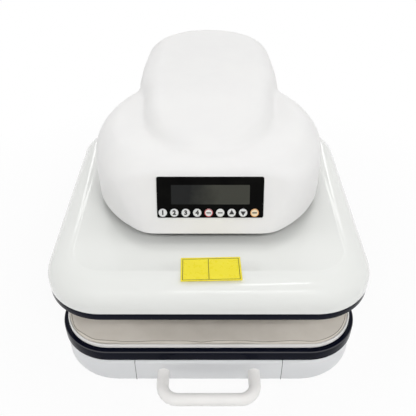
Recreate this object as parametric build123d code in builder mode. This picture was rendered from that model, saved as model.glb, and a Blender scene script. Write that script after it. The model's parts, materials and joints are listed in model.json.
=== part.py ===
from build123d import *
import math
import os

os.makedirs("parts", exist_ok=True)

# An automatic flat heat press with a pull-out lower platen. Millimetres, +Z up, the front is -Y.
# The origin is on the ground, straight below the middle of the two platens.

# ---- overall sizes ----
cover_width = 440.0
cover_depth = 438.0
cover_radius = 82.0
base_width = 428.0
base_front = -214.0
base_rear = 362.0
base_front_radius = 85.0
base_rear_radius = 60.0
tray_width = 428.0
tray_depth = 412.0
tray_front = -211.0
tray_radius = 75.0

# ---- levels, from the ground up ----
foot_height = 6.0
base_height = 41.0
deck_gap = 1.0
tray_height = 17.0
lower_platen_thickness = 3.0
pad_thickness = 5.7
soft_clearance = 0.3
daylight = 59.0
plate_proud = 10.0
trim_height = 10.0
cover_height = 38.5
cover_crown = 1.5
head_gap = 17.0

base_bottom = foot_height
deck_level = base_bottom + base_height
tray_bottom = deck_level + deck_gap
tray_top = tray_bottom + tray_height
lower_platen_top = tray_top + lower_platen_thickness
pad_bottom = lower_platen_top + soft_clearance
pad_top = pad_bottom + pad_thickness
heat_face = pad_top + daylight
press_stroke = daylight - soft_clearance
trim_bottom = heat_face + plate_proud
cover_bottom = trim_bottom + trim_height
cover_shoulder = cover_bottom + cover_height
cover_top = cover_shoulder + cover_crown
head_bottom = cover_top + head_gap

# ---- general thicknesses and fits ----
wall = 3.0
sheet = 2.0
seam = 0.3
running_fit = 0.05
rail_gap = 0.4
split_gap = 0.8

# ---- base ----
base_top_fillet = 5.0
base_bottom_fillet = 4.0
channel_half = 104.0
channel_rear = 207.0
frame_sheet = 3.0
frame_half = 103.0
frame_rear = 338.0
frame_side_top = 45.0
foot_radius = 15.0
foot_inset_x = 60.0
foot_front = -150.0
foot_rear = 300.0
base_screw_rows = (-90.0, 80.0, 250.0)
screw_head_radius = 3.5
screw_head_height = 1.4

# ---- telescopic slides ----
slide_lift = 3.0
slide_height = 30.0
slide_level = base_bottom + sheet + frame_sheet + slide_lift + slide_height / 2
slide_sheet = 1.6
slide_front = -205.0
slide_overlap = 108.0
slide_lip_outer = 9.6
slide_lip_middle = 6.4
slide_inner_thickness = 6.0
drawer_travel = 300.0

# ---- drawer ----
drawer_front_thickness = 6.0
carriage_sheet = 1.6
carriage_web = 2.0
carriage_flange_bottom = 17.0
carriage_rear = 196.0
tray_wall = 4.0
tray_rib = 8.0
tray_rib_half = 85.0
tray_rib_rows = (-150.0, -50.0, 50.0, 150.0)
lower_platen_inset = 7.0
pad_inset = 9.0
handle_tube_radius = 8.5
handle_half = 64.0
handle_reach = 44.0
handle_bend = 22.0
handle_level = 24.5
handle_screw_radius = 2.5

# ---- upper platen ----
cover_fillet = 20.0
crown_inset = 24.0
trim_inset = 1.5
trim_wall = 7.5
trim_flange = 3.0
heat_plate_width = 386.0
heat_plate_thickness = 14.0
heat_plate_radius = 45.0
element_radius = 4.0
element_runs = 6
element_half = 140.0
element_pitch = 56.0
element_gap = 0.3
element_bend = 24.0
terminal_radius = 2.5
terminal_top = 6.0
probe_x = 60.0
probe_radius = 2.5
probe_depth = 40.0
probe_stub = 10.0
thermostat_radius = 9.0
thermostat_y = 56.0
thermostat_height = 9.0
insulation_width = 370.0
insulation_thickness = 12.0
carrier_width = 300.0
carrier_thickness = 8.0
carrier_lift = 12.0
standoff_radius = 8.0
standoff_x = 120.0
boss_radius = 8.0
boss_place = 135.0
rod_radius = 8.0
rod_foot_radius = 14.0
rod_foot_height = 6.0
rod_engaged = 20.0
ram_half = 12.0
ram_engaged = 17.0
ram_foot_half = 22.0
label_width = 78.0
label_depth = 43.0
label_thickness = 0.3
label_x = 3.0
label_y = -178.0
label_turn = 1.6

# ---- rack drive ----
gear_module = 2.0
pinion_teeth = 15
tooth_addendum = 1.4
tooth_dedendum = 1.8
tooth_backlash = 0.35
pressure_angle = 20.0
pinion_half = 10.0
pinion_level = head_bottom + 32.0
shaft_radius = 6.0
bearing_radius = 14.0
bearing_flange_radius = 17.0
bearing_flange = 2.0

# ---- head ----
head_radius = 166.0
head_centre = 15.0
head_face = head_centre - head_radius + 23.0
head_lean = 20.0
head_corner = 40.0
head_front_top = head_bottom + 1.5 * press_stroke + 1.95
head_front_top_y = head_face + 28.0
head_top_tilt = 2.5
head_top_fillet = 32.0
arm_half = 107.0
arm_front_centre = 27.0
arm_rear_centre = 245.0
arm_top = head_front_top + 30.0
arm_toe_level = head_front_top + 7.0
arm_toe = head_front_top_y + 20.0
arm_ramp = 17.6
arm_crease_radius = 120.0
arm_top_fillet = 18.0
column_front = 232.0
underplate_thickness = 3.0
head_plate_gap = 1.0
head_plate_thickness = 8.0
head_plate_half = 108.0
head_plate_front = head_face + 28.0
head_plate_rear = 200.0
head_plate_step = head_radius - 41.0
bush_radius = 13.0
bush_flange_radius = 16.0
bush_flange = 4.0
bush_height = 26.0
rod_x = head_plate_half - 23.0
rod_y = head_radius - 86.0
c_plate_inner = 60.0
c_plate_thickness = 6.0
c_front = -45.0
c_throat = 245.0
c_rear = 322.0
c_top = arm_top - 40.0
c_chamfer = 26.0
spacer_radius = 8.0
spacer_edge = 22.0
spacer_low = 60.0
spacer_waist = 150.0
underplate_spacer_rows = (-40.0, 100.0)
motor_box_start = 14.0
motor_box_end = 54.0
motor_box_half = 26.0
motor_box_height = 44.0
motor_can_radius = 19.0
motor_can_length = 80.0

# ---- control panel ----
panel_middle = 50.0
panel_width = 142.0
panel_height = 58.0
panel_radius = 4.0
overlay_thickness = 1.6
opening_border = 2.0
window_width = 103.0
window_height = 26.5
window_middle = 54.8
window_thickness = 1.2
window_gap = 0.2
key_count = 9
key_pitch = 15.16
key_level = 30.0
key_radius = 5.5
key_gap = 0.15
key_proud = 0.7
key_flange = 6.0
key_flange_thickness = 1.2
key_travel = 0.8
key_stem_radius = 2.0
board_depth = 12.0
board_thickness = 1.6
board_width = 148.0
board_height = 56.0
board_boss_x = 70.0
board_boss_y = 24.0
board_boss_radius = 3.0
switch_height = 3.4
switch_half = 3.0

# ---- rear sockets ----
socket_level = 27.0
inlet_x = -70.0
switch_x = 0.0
fuse_x = 60.0
inlet_flange_width = 50.0
inlet_flange_height = 25.0
inlet_body_width = 30.0
inlet_body_height = 21.0
inlet_body_depth = 28.0
inlet_cavity_width = 24.6
inlet_cavity_height = 16.4
inlet_cavity_depth = 18.0
blade_length = 11.0
blade_pitch = 7.0
rocker_flange_width = 21.0
rocker_flange_height = 30.0
rocker_body_width = 17.0
rocker_body_height = 26.0
rocker_body_depth = 20.0
rocker_width = 11.0
rocker_swing_radius = 11.0
rocker_tilt = 10.0
fuse_flange_radius = 9.0
fuse_body_radius = 6.5
fuse_depth = 30.0
flange_thickness = 2.5
power_board_x = -152.0
power_board_y = 280.0
power_board_width = 70.0
power_board_depth = 100.0
board_leg = 6.0
transformer_width = 36.0
transformer_height = 24.0
capacitor_radius = 6.0
relay_width = 45.0
relay_depth = 58.0
relay_height = 24.0
vent_level = 140.0
vent_width = 60.0
vent_height = 4.0
vent_pitch = 10.0
vent_count = 6

lean = math.radians(head_lean)


def save(piece, node):
    """Label one finished piece and write it to its own STEP file."""
    piece.part.label = node
    export_step(piece.part, f"parts/{node}.step")


def rounded_plan(half_width, front, rear, front_radius, rear_radius, level):
    """A rectangle seen from above, its front and rear corners rounded by their own radii."""
    with BuildSketch(Plane.XY.offset(level)) as plan:
        with BuildLine():
            Polyline((-half_width, front), (half_width, front), (half_width, rear), (-half_width, rear),
                     close=True)
        make_face()
        fillet(plan.vertices().group_by(Axis.Y)[0], front_radius)
        fillet(plan.vertices().group_by(Axis.Y)[-1], rear_radius)
    return plan.sketch


def base_plan(inset, level):
    """The plan of the base, drawn in by an inset."""
    return rounded_plan(base_width / 2 - inset, base_front + inset, base_rear - inset,
                        base_front_radius - inset, base_rear_radius - inset, level)


def base_block():
    """The whole outside of the base, before the channel and the drawer front are cut from it."""
    with BuildPart() as block:
        extrude(base_plan(0, base_bottom), amount=base_height)
        fillet(block.faces().sort_by(Axis.Z)[-1].edges(), base_top_fillet)
        fillet(block.faces().sort_by(Axis.Z)[0].edges(), base_bottom_fillet)
    return block.part


def cover_plan(inset, level):
    """The plan of the upper platen cover, drawn in by an inset."""
    return rounded_plan(cover_width / 2 - inset, -cover_depth / 2 + inset, cover_depth / 2 - inset,
                        cover_radius - inset, cover_radius - inset, level)


def cover_form(inset):
    """The upper platen cover below its crown, as one closed form drawn in by an inset."""
    with BuildPart() as form:
        extrude(cover_plan(inset, cover_bottom), amount=cover_height - inset)
        fillet(form.faces().sort_by(Axis.Z)[-1].edges(), cover_fillet - inset)
    return form.part


def tray_plan(inset, level):
    """The plan of the lower tray, drawn in by an inset."""
    return rounded_plan(tray_width / 2 - inset, tray_front + inset, tray_front + tray_depth - inset,
                        tray_radius - inset, tray_radius - inset, level)


def square_plan(width, radius, level):
    """A rounded square in the middle of the platens."""
    return rounded_plan(width / 2, -width / 2, width / 2, radius, radius, level)


def arm_plan(inset, level):
    """The long plan of the arm, round at both ends."""
    with BuildSketch(Plane.XY.offset(level)) as plan:
        for centre in (arm_front_centre, arm_rear_centre):
            with Locations((0, centre)):
                Circle(arm_half - inset)
        with Locations((0, (arm_front_centre + arm_rear_centre) / 2)):
            Rectangle(2 * (arm_half - inset), arm_rear_centre - arm_front_centre)
    return plan.sketch


def housing_form(inset):
    """The round head with the arm on top of it, as one closed form drawn in by an inset."""
    face = head_face + inset / math.cos(lean)
    lean_plane = Plane(origin=(0, face, head_bottom), z_dir=(0, -math.cos(lean), math.sin(lean)))
    tilt = math.radians(head_top_tilt)
    tilt_plane = Plane(origin=(0, head_front_top_y, head_front_top - inset),
                       z_dir=(0, -math.sin(tilt), math.cos(tilt)))
    with BuildPart() as head:
        with BuildSketch(Plane.XY.offset(head_bottom)):
            with Locations((0, head_centre)):
                Circle(head_radius - inset)
        extrude(amount=arm_top - head_bottom)
        split(bisect_by=lean_plane, keep=Keep.BOTTOM)
        corners = head.edges().filter_by(GeomType.ELLIPSE)
        fillet(corners, head_corner - inset)
        split(bisect_by=tilt_plane, keep=Keep.BOTTOM)
        fillet(head.faces().sort_by(Axis.Z)[-1].edges(), head_top_fillet - inset)
    ramp = math.radians(arm_ramp)
    ramp_plane = Plane(origin=(0, arm_toe, arm_toe_level - inset), z_dir=(0, -math.sin(ramp), math.cos(ramp)))
    with BuildPart() as arm:
        extrude(arm_plan(inset, head_bottom), amount=arm_top - inset - head_bottom)
        split(bisect_by=ramp_plane, keep=Keep.BOTTOM)
        crease = arm.edges().filter_by(Axis.X).sort_by(Axis.Z)[-1]
        fillet(crease, arm_crease_radius)
        rim = arm.edges().filter_by(lambda edge: edge.center().Z > head_front_top - arm_top_fillet)
        rim = rim.filter_by(Axis.X, reverse=True)
        fillet(rim.filter_by(Axis.Z, reverse=True), arm_top_fillet - inset)
    with BuildPart() as form:
        add(head.part)
        add(arm.part)
    return form.part


# ---- base ----
base_outside = base_block()

with BuildPart() as base_shell:
    add(base_outside)
    extrude(base_plan(wall, base_bottom), amount=base_height - wall, mode=Mode.SUBTRACT)
    channel_length = channel_rear - base_front
    with BuildSketch(Plane.XY.offset(base_bottom)):
        for side in (-1, 1):
            with Locations((side * (channel_half + wall / 2), base_front + wall)):
                Rectangle(wall, channel_length - wall, align=(Align.CENTER, Align.MIN))
    extrude(amount=base_height - wall)
    with BuildSketch(Plane.XY.offset(0)):
        with Locations((0, base_front - wall)):
            Rectangle(2 * channel_half, channel_length + wall, align=(Align.CENTER, Align.MIN))
    extrude(amount=2 * base_height, mode=Mode.SUBTRACT)
    with BuildSketch(Plane.XY.offset(deck_level - 2 * wall)):
        with Locations((0, c_throat - wall)):
            Rectangle(2 * (c_plate_inner + c_plate_thickness + wall), c_rear - c_throat + 2 * wall,
                      align=(Align.CENTER, Align.MIN))
    extrude(amount=3 * wall, mode=Mode.SUBTRACT)
    rear_plane = Plane(origin=(0, base_rear, socket_level), x_dir=(-1, 0, 0), z_dir=(0, 1, 0))
    with BuildSketch(rear_plane):
        with Locations((-inlet_x, 0)):
            Rectangle(inlet_body_width, inlet_body_height)
        with Locations((-switch_x, 0)):
            Rectangle(rocker_body_width, rocker_body_height)
        with Locations((-fuse_x, 0)):
            Circle(fuse_body_radius)
    extrude(amount=-2 * wall, mode=Mode.SUBTRACT)
save(base_shell, "base_shell")

with BuildPart() as base_plate:
    extrude(base_plan(wall + seam, base_bottom), amount=sheet)
    with BuildSketch(Plane.XY.offset(base_bottom)):
        with Locations((0, base_front)):
            Rectangle(2 * (channel_half + wall + seam), drawer_front_thickness + split_gap,
                      align=(Align.CENTER, Align.MIN))
        for side in (-1, 1):
            with Locations((side * (channel_half + wall / 2), base_front)):
                Rectangle(wall + 2 * seam, channel_length + seam, align=(Align.CENTER, Align.MIN))
    extrude(amount=sheet, mode=Mode.SUBTRACT)
save(base_plate, "base_plate")

foot_x = base_width / 2 - foot_inset_x
foot_places = [(x, y) for x in (-foot_x, foot_x) for y in (foot_front, foot_rear)]

with BuildPart() as rubber_feet:
    with BuildSketch():
        with Locations(*foot_places):
            Circle(foot_radius)
    extrude(amount=foot_height)
    chamfer(rubber_feet.faces().sort_by(Axis.Z)[0].edges(), sheet / 2)
save(rubber_feet, "rubber_feet")

with BuildPart() as base_screws:
    with BuildSketch(Plane.XY.offset(base_bottom - screw_head_height)):
        for side in (-1, 1):
            with Locations(*[(side * (base_width / 2 - foot_inset_x / 2), y) for y in base_screw_rows]):
                Circle(screw_head_radius)
    extrude(amount=screw_head_height)
save(base_screws, "base_screws")

slide_rear = slide_front + drawer_travel + slide_overlap
frame_bottom = base_bottom + sheet
frame_floor = frame_bottom + frame_sheet

with BuildPart() as base_frame:
    with BuildSketch(Plane.XY.offset(frame_bottom)):
        with Locations((0, slide_front)):
            Rectangle(2 * frame_half, frame_rear - slide_front, align=(Align.CENTER, Align.MIN))
    extrude(amount=frame_sheet)
    with BuildSketch(Plane.XY.offset(frame_bottom)):
        for side in (-1, 1):
            with Locations((side * (frame_half - frame_sheet / 2), slide_front)):
                Rectangle(frame_sheet, slide_rear - slide_front, align=(Align.CENTER, Align.MIN))
    extrude(amount=frame_side_top - frame_bottom)
save(base_frame, "base_frame")

# ---- telescopic slides: an outer channel, a middle channel and an inner bar on each side ----
rail_face = frame_half - frame_sheet
middle_height = slide_height - 2 * slide_sheet - 2 * rail_gap
inner_height = middle_height - 2 * slide_sheet - 2 * rail_gap
middle_face = rail_face - slide_sheet - rail_gap
inner_face = middle_face - slide_sheet - rail_gap
carriage_half = inner_face - slide_inner_thickness


def channel_profile(side, face, height, lip):
    """The section of one slide member, a channel that opens towards the middle of the press."""
    section = Plane(origin=(0, slide_front, slide_level), x_dir=(1, 0, 0), z_dir=(0, 1, 0))
    with BuildSketch(section) as profile:
        with Locations((side * (face - lip / 2), 0)):
            Rectangle(lip, height)
        with Locations((side * (face - slide_sheet - lip / 2), 0)):
            Rectangle(lip, height - 2 * slide_sheet, mode=Mode.SUBTRACT)
    return profile.sketch


slide_length = slide_rear - slide_front

with BuildPart() as outer_slide_rails:
    for side in (-1, 1):
        extrude(channel_profile(side, rail_face, slide_height, slide_lip_outer), amount=slide_length)
save(outer_slide_rails, "outer_slide_rails")

with BuildPart() as middle_slide_rails:
    for side in (-1, 1):
        extrude(channel_profile(side, middle_face, middle_height, slide_lip_middle), amount=slide_length)
save(middle_slide_rails, "middle_slide_rails")

with BuildPart() as inner_slide_rails:
    with BuildSketch(Plane.XZ.offset(-slide_front)):
        for side in (-1, 1):
            with Locations((side * (inner_face - slide_inner_thickness / 2), slide_level)):
                Rectangle(slide_inner_thickness, inner_height)
    extrude(amount=-slide_length)
save(inner_slide_rails, "inner_slide_rails")

# ---- drawer ----
front_back = base_front + drawer_front_thickness

with BuildPart() as drawer_front:
    add(base_outside)
    with BuildSketch(Plane.XY.offset(0)):
        with Locations((0, base_front - wall)):
            Rectangle(2 * (channel_half - split_gap), drawer_front_thickness + wall,
                      align=(Align.CENTER, Align.MIN))
    extrude(amount=2 * base_height, mode=Mode.INTERSECT)
    with BuildSketch(Plane.XZ.offset(-front_back)):
        with Locations((-handle_half, handle_level), (handle_half, handle_level)):
            Circle(handle_screw_radius + running_fit)
    extrude(amount=drawer_front_thickness, mode=Mode.SUBTRACT)
save(drawer_front, "drawer_front")

carriage_top = tray_bottom

with BuildPart() as drawer_carriage:
    with BuildSketch(Plane.XY.offset(carriage_top - carriage_web)):
        with Locations((0, front_back)):
            Rectangle(2 * carriage_half, carriage_rear - front_back, align=(Align.CENTER, Align.MIN))
    extrude(amount=carriage_web)
    with BuildSketch(Plane.XY.offset(carriage_flange_bottom)):
        for side in (-1, 1):
            with Locations((side * (carriage_half - carriage_sheet / 2), front_back)):
                Rectangle(carriage_sheet, carriage_rear - front_back, align=(Align.CENTER, Align.MIN))
        with Locations((0, front_back)):
            Rectangle(2 * carriage_half, carriage_sheet, align=(Align.CENTER, Align.MIN))
    extrude(amount=carriage_top - carriage_flange_bottom)
    with BuildSketch(Plane.XZ.offset(-front_back)):
        with Locations((-handle_half, handle_level), (handle_half, handle_level)):
            Circle(handle_screw_radius + running_fit)
    extrude(amount=-carriage_sheet, mode=Mode.SUBTRACT)
save(drawer_carriage, "drawer_carriage")

with BuildPart() as handle_screws:
    with BuildSketch(Plane.XZ.offset(-(front_back + carriage_sheet))):
        with Locations((-handle_half, handle_level), (handle_half, handle_level)):
            Circle(handle_screw_radius)
    extrude(amount=carriage_sheet + drawer_front_thickness)
    with BuildSketch(Plane.XZ.offset(-(front_back + carriage_sheet))):
        with Locations((-handle_half, handle_level), (handle_half, handle_level)):
            Circle(2 * handle_screw_radius)
    extrude(amount=-handle_screw_radius)
save(handle_screws, "handle_screws")

with BuildPart() as drawer_handle:
    with BuildLine(Plane.XY.offset(handle_level)) as handle_path:
        corner = base_front - handle_reach
        FilletPolyline((-handle_half, base_front), (-handle_half, corner), (handle_half, corner),
                       (handle_half, base_front), radius=handle_bend)
    with BuildSketch(Plane(origin=(-handle_half, base_front, handle_level), z_dir=(0, -1, 0))):
        Circle(handle_tube_radius)
    sweep()
save(drawer_handle, "drawer_handle")

with BuildPart() as lower_tray:
    extrude(tray_plan(0, tray_bottom), amount=tray_height)
    fillet(lower_tray.faces().sort_by(Axis.Z)[-1].edges(), sheet)
    extrude(tray_plan(tray_wall, tray_bottom), amount=tray_height - tray_wall, mode=Mode.SUBTRACT)
    with BuildSketch(Plane.XY.offset(tray_bottom)):
        with Locations(*[(0, y) for y in tray_rib_rows]):
            Rectangle(2 * tray_rib_half, tray_rib)
    extrude(amount=tray_height - tray_wall)
save(lower_tray, "lower_tray")

with BuildPart() as lower_platen:
    extrude(tray_plan(lower_platen_inset, tray_top), amount=lower_platen_thickness)
save(lower_platen, "lower_platen")

with BuildPart() as silicone_pad:
    extrude(tray_plan(pad_inset, pad_bottom), amount=pad_thickness)
    fillet(silicone_pad.faces().sort_by(Axis.Z)[-1].edges(), sheet)
save(silicone_pad, "silicone_pad")

# ---- upper platen ----
head_plate_bottom = head_bottom + underplate_thickness + head_plate_gap
head_plate_top = head_plate_bottom + head_plate_thickness
rod_top = head_plate_bottom + rod_engaged + press_stroke
ram_top = pinion_level + ram_engaged + press_stroke
carrier_bottom = heat_face + heat_plate_thickness + insulation_thickness + carrier_lift
carrier_top = carrier_bottom + carrier_thickness
plate_top = heat_face + heat_plate_thickness
rod_places = [(x, y) for x in (-rod_x, rod_x) for y in (-rod_y, rod_y)]
standoff_places = [(x, y) for x in (-standoff_x, standoff_x) for y in (-standoff_x, standoff_x)]
element_rows = [(row - (element_runs - 1) / 2) * element_pitch for row in range(element_runs)]
element_points = []
for row, y in enumerate(element_rows):
    start = -element_half if row % 2 == 0 else element_half
    element_points += [(start, y), (-start, y)]
terminal_places = [element_points[0], element_points[-1]]
element_level = plate_top - element_radius - element_gap
boss_places = [(x, 0) for x in (-boss_place, boss_place)] + [(0, y) for y in (-boss_place, boss_place)]

with BuildPart() as platen_cover:
    add(cover_form(0))
    extrude(cover_plan(crown_inset, cover_shoulder), amount=cover_crown)
    fillet(platen_cover.faces().sort_by(Axis.Z)[-1].edges(), cover_crown / 2)
    add(cover_form(wall), mode=Mode.SUBTRACT)
    with BuildSketch(Plane.XY.offset(carrier_top)):
        with Locations(*boss_places):
            Circle(boss_radius)
    extrude(amount=cover_shoulder - sheet - carrier_top)
    with BuildSketch(Plane.XY.offset(carrier_top)):
        with Locations(*rod_places):
            Circle(rod_radius + 2 * seam)
        Rectangle(2 * ram_half + 4 * seam, 2 * (ram_half + tooth_addendum) + 4 * seam)
    extrude(amount=cover_top, mode=Mode.SUBTRACT)
save(platen_cover, "platen_cover")

with BuildPart() as cover_trim:
    extrude(cover_plan(trim_inset, trim_bottom), amount=trim_height)
    fillet(cover_trim.faces().sort_by(Axis.Z)[0].edges(), sheet)
    extrude(cover_plan(trim_inset + trim_wall, trim_bottom), amount=trim_height - trim_flange,
            mode=Mode.SUBTRACT)
    extrude(square_plan(heat_plate_width + 2 * trim_flange, heat_plate_radius + trim_flange, trim_bottom),
            amount=trim_height, mode=Mode.SUBTRACT)
save(cover_trim, "cover_trim")

with BuildPart() as heat_plate:
    extrude(square_plan(heat_plate_width, heat_plate_radius, heat_face), amount=heat_plate_thickness)
    fillet(heat_plate.faces().sort_by(Axis.Z)[0].edges(), sheet)
    with BuildSketch(Plane.XY.offset(plate_top)):
        with BuildLine():
            FilletPolyline(*element_points, radius=element_bend)
        trace(line_width=2 * (element_radius + element_gap))
        with Locations(*terminal_places):
            Circle(element_radius + element_gap)
    extrude(amount=-2 * (element_radius + element_gap), mode=Mode.SUBTRACT)
    with BuildSketch(Plane.XZ.offset(-heat_plate_width / 2)):
        with Locations((probe_x, heat_face + heat_plate_thickness / 2)):
            Circle(probe_radius + running_fit)
    extrude(amount=probe_depth, mode=Mode.SUBTRACT)
save(heat_plate, "heat_plate")

with BuildPart() as heating_element:
    with BuildLine(Plane.XY.offset(element_level)):
        FilletPolyline(*element_points, radius=element_bend)
    with BuildSketch(Plane(origin=(*element_points[0], element_level), z_dir=(1, 0, 0))):
        Circle(element_radius)
    sweep()
    with BuildSketch(Plane.XY.offset(element_level)):
        with Locations(*terminal_places):
            Circle(terminal_radius)
    extrude(amount=plate_top + insulation_thickness + terminal_top - element_level)
save(heating_element, "heating_element")

with BuildPart() as insulation_board:
    extrude(square_plan(insulation_width, heat_plate_radius, plate_top), amount=insulation_thickness)
    with BuildSketch(Plane.XY.offset(plate_top)):
        with Locations(*standoff_places):
            Circle(standoff_radius + 2 * seam)
        with Locations(*terminal_places):
            Circle(terminal_radius + 2 * seam)
        with Locations((0, thermostat_y)):
            Circle(thermostat_radius + 2 * seam)
    extrude(amount=insulation_thickness, mode=Mode.SUBTRACT)
save(insulation_board, "insulation_board")

with BuildPart() as thermostat:
    with BuildSketch(Plane.XY.offset(plate_top)):
        with Locations((0, thermostat_y)):
            Circle(thermostat_radius)
    extrude(amount=thermostat_height)
    with BuildSketch(Plane.XY.offset(plate_top + thermostat_height)):
        with Locations((-thermostat_radius / 2, thermostat_y), (thermostat_radius / 2, thermostat_y)):
            Rectangle(sheet / 2, 2 * sheet)
    extrude(amount=terminal_top)
save(thermostat, "thermostat")

with BuildPart() as temperature_probe:
    with BuildSketch(Plane.XZ.offset(-(heat_plate_width / 2 + probe_stub))):
        with Locations((probe_x, heat_face + heat_plate_thickness / 2)):
            Circle(probe_radius)
    extrude(amount=probe_stub + probe_depth)
save(temperature_probe, "temperature_probe")

with BuildPart() as platen_standoffs:
    with BuildSketch(Plane.XY.offset(plate_top)):
        with Locations(*standoff_places):
            RegularPolygon(standoff_radius, 6)
    extrude(amount=carrier_bottom - plate_top)
save(platen_standoffs, "platen_standoffs")

with BuildPart() as platen_carrier:
    extrude(square_plan(carrier_width, foot_radius, carrier_bottom), amount=carrier_thickness)
save(platen_carrier, "platen_carrier")

with BuildPart() as guide_rods:
    with BuildSketch(Plane.XY.offset(carrier_top)):
        with Locations(*rod_places):
            Circle(rod_foot_radius)
    extrude(amount=rod_foot_height)
    with BuildSketch(Plane.XY.offset(carrier_top)):
        with Locations(*rod_places):
            Circle(rod_radius)
    extrude(amount=rod_top - carrier_top)
    chamfer(guide_rods.faces().sort_by(Axis.Z)[-4:].edges(), sheet / 2)
save(guide_rods, "guide_rods")

with BuildPart() as blank_label:
    with BuildSketch(Plane.XY.offset(cover_top)):
        with Locations((label_x, label_y)):
            Rectangle(label_width, label_depth, rotation=label_turn)
    extrude(amount=label_thickness)
save(blank_label, "blank_label")

# ---- rack drive: the motor turns a pinion, which lifts and lowers the ram ----
pitch_radius = gear_module * pinion_teeth / 2
gear_pitch = math.pi * gear_module
half_tooth = gear_pitch / 4 - tooth_backlash / 2
flank = math.tan(math.radians(pressure_angle))
pinion_y = ram_half + pitch_radius
rack_start = pinion_level - gear_pitch * 2
rack_count = int((ram_top - rack_start) / gear_pitch)

with BuildPart() as ram_rack:
    with BuildSketch(Plane.XY.offset(carrier_top)):
        Rectangle(2 * ram_foot_half, 2 * ram_foot_half)
    extrude(amount=rod_foot_height)
    with BuildSketch(Plane.XY.offset(carrier_top)):
        with Locations((0, -ram_half)):
            Rectangle(2 * ram_half, 2 * ram_half - tooth_dedendum, align=(Align.CENTER, Align.MIN))
    extrude(amount=ram_top - carrier_top)
    with BuildSketch(Plane.YZ.offset(-ram_half)):
        for tooth in range(rack_count):
            level = rack_start + (tooth + 0.5) * gear_pitch
            with BuildLine():
                root = half_tooth + tooth_dedendum * flank
                tip = half_tooth - tooth_addendum * flank
                root_y = ram_half - tooth_dedendum - tooth_backlash
                tip_y = ram_half + tooth_addendum
                Polyline((root_y, level - root), (tip_y, level - tip),
                         (tip_y, level + tip), (root_y, level + root), close=True)
            make_face()
    extrude(amount=2 * ram_half)
save(ram_rack, "ram_rack")


def involute(angle):
    """The involute function of an angle in radians."""
    return math.tan(angle) - angle


def tooth_half_angle(radius):
    """Half the angle that a pinion tooth fills at a radius."""
    base_radius = pitch_radius * math.cos(math.radians(pressure_angle))
    turn = math.acos(min(1.0, base_radius / radius))
    return half_tooth / pitch_radius + involute(math.radians(pressure_angle)) - involute(turn)


tooth_radii = [pitch_radius - tooth_dedendum - tooth_backlash, pitch_radius, pitch_radius + tooth_addendum]

with BuildPart() as pinion_shaft:
    with BuildSketch(Plane(origin=(-pinion_half, pinion_y, pinion_level), x_dir=(0, 1, 0), z_dir=(1, 0, 0))):
        Circle(pitch_radius - tooth_dedendum)
        for tooth in range(pinion_teeth):
            middle = math.pi + tooth * 2 * math.pi / pinion_teeth
            outline = []
            for side in (-1, 1):
                for radius in tooth_radii[::-side]:
                    angle = middle + side * tooth_half_angle(radius)
                    outline.append((radius * math.cos(angle), radius * math.sin(angle)))
            with BuildLine():
                Polyline(*outline, close=True)
            make_face()
    extrude(amount=2 * pinion_half)
    with BuildSketch(Plane.YZ.offset(-c_plate_inner - c_plate_thickness)):
        with Locations((pinion_y, pinion_level)):
            Circle(shaft_radius)
    extrude(amount=2 * (c_plate_inner + c_plate_thickness))
save(pinion_shaft, "pinion_shaft")

# ---- frame that carries the head ----

with BuildPart() as c_frame:
    for start in (-c_plate_inner - c_plate_thickness, c_plate_inner):
        with BuildSketch(Plane.YZ.offset(start)) as c_outline:
            with BuildLine():
                Polyline((c_front, head_plate_top), (c_front, c_top), (c_rear, c_top), (c_rear, frame_floor),
                         (c_throat, frame_floor), (c_throat, head_plate_top), close=True)
            make_face()
            top_corners = c_outline.vertices().filter_by_position(Axis.Z, c_top - 1, c_top + 1)
            chamfer(top_corners, c_chamfer)
            with Locations((pinion_y, pinion_level)):
                Circle(bearing_radius, mode=Mode.SUBTRACT)
        extrude(amount=c_plate_thickness)
save(c_frame, "c_frame")

spacer_places = [(c_rear - spacer_edge, spacer_low), (c_throat + spacer_edge, spacer_waist),
                 (c_rear - spacer_edge, c_top - spacer_edge), (c_front + spacer_edge, c_top - spacer_edge),
                 ((c_front + c_rear) / 2, c_top - 1.5 * spacer_radius)]

with BuildPart() as frame_spacers:
    with BuildSketch(Plane.YZ.offset(-c_plate_inner)):
        with Locations(*spacer_places):
            Circle(spacer_radius)
    extrude(amount=2 * c_plate_inner)
save(frame_spacers, "frame_spacers")

with BuildPart() as pinion_bearings:
    for side in (-1, 1):
        with BuildSketch(Plane.YZ.offset(side * (c_plate_inner + c_plate_thickness))):
            with Locations((pinion_y, pinion_level)):
                Circle(bearing_radius)
                Circle(shaft_radius + running_fit, mode=Mode.SUBTRACT)
        extrude(amount=-side * c_plate_thickness)
        with BuildSketch(Plane.YZ.offset(side * (c_plate_inner + c_plate_thickness))):
            with Locations((pinion_y, pinion_level)):
                Circle(bearing_flange_radius)
                Circle(shaft_radius + running_fit, mode=Mode.SUBTRACT)
        extrude(amount=side * bearing_flange)
save(pinion_bearings, "pinion_bearings")

with BuildPart() as head_plate:
    with BuildSketch(Plane.XY.offset(head_plate_bottom)):
        with BuildLine():
            Polyline((-head_plate_half, head_plate_front), (head_plate_half, head_plate_front),
                     (head_plate_half, head_plate_step), (arm_half - 2 * wall, head_plate_step),
                     (arm_half - 2 * wall, head_plate_rear), (-arm_half + 2 * wall, head_plate_rear),
                     (-arm_half + 2 * wall, head_plate_step), (-head_plate_half, head_plate_step), close=True)
        make_face()
        with Locations(*rod_places):
            Circle(bush_radius, mode=Mode.SUBTRACT)
        Rectangle(2 * ram_half + 4 * seam, 2 * (ram_half + tooth_addendum) + 4 * seam, mode=Mode.SUBTRACT)
    extrude(amount=head_plate_thickness)
save(head_plate, "head_plate")

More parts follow.
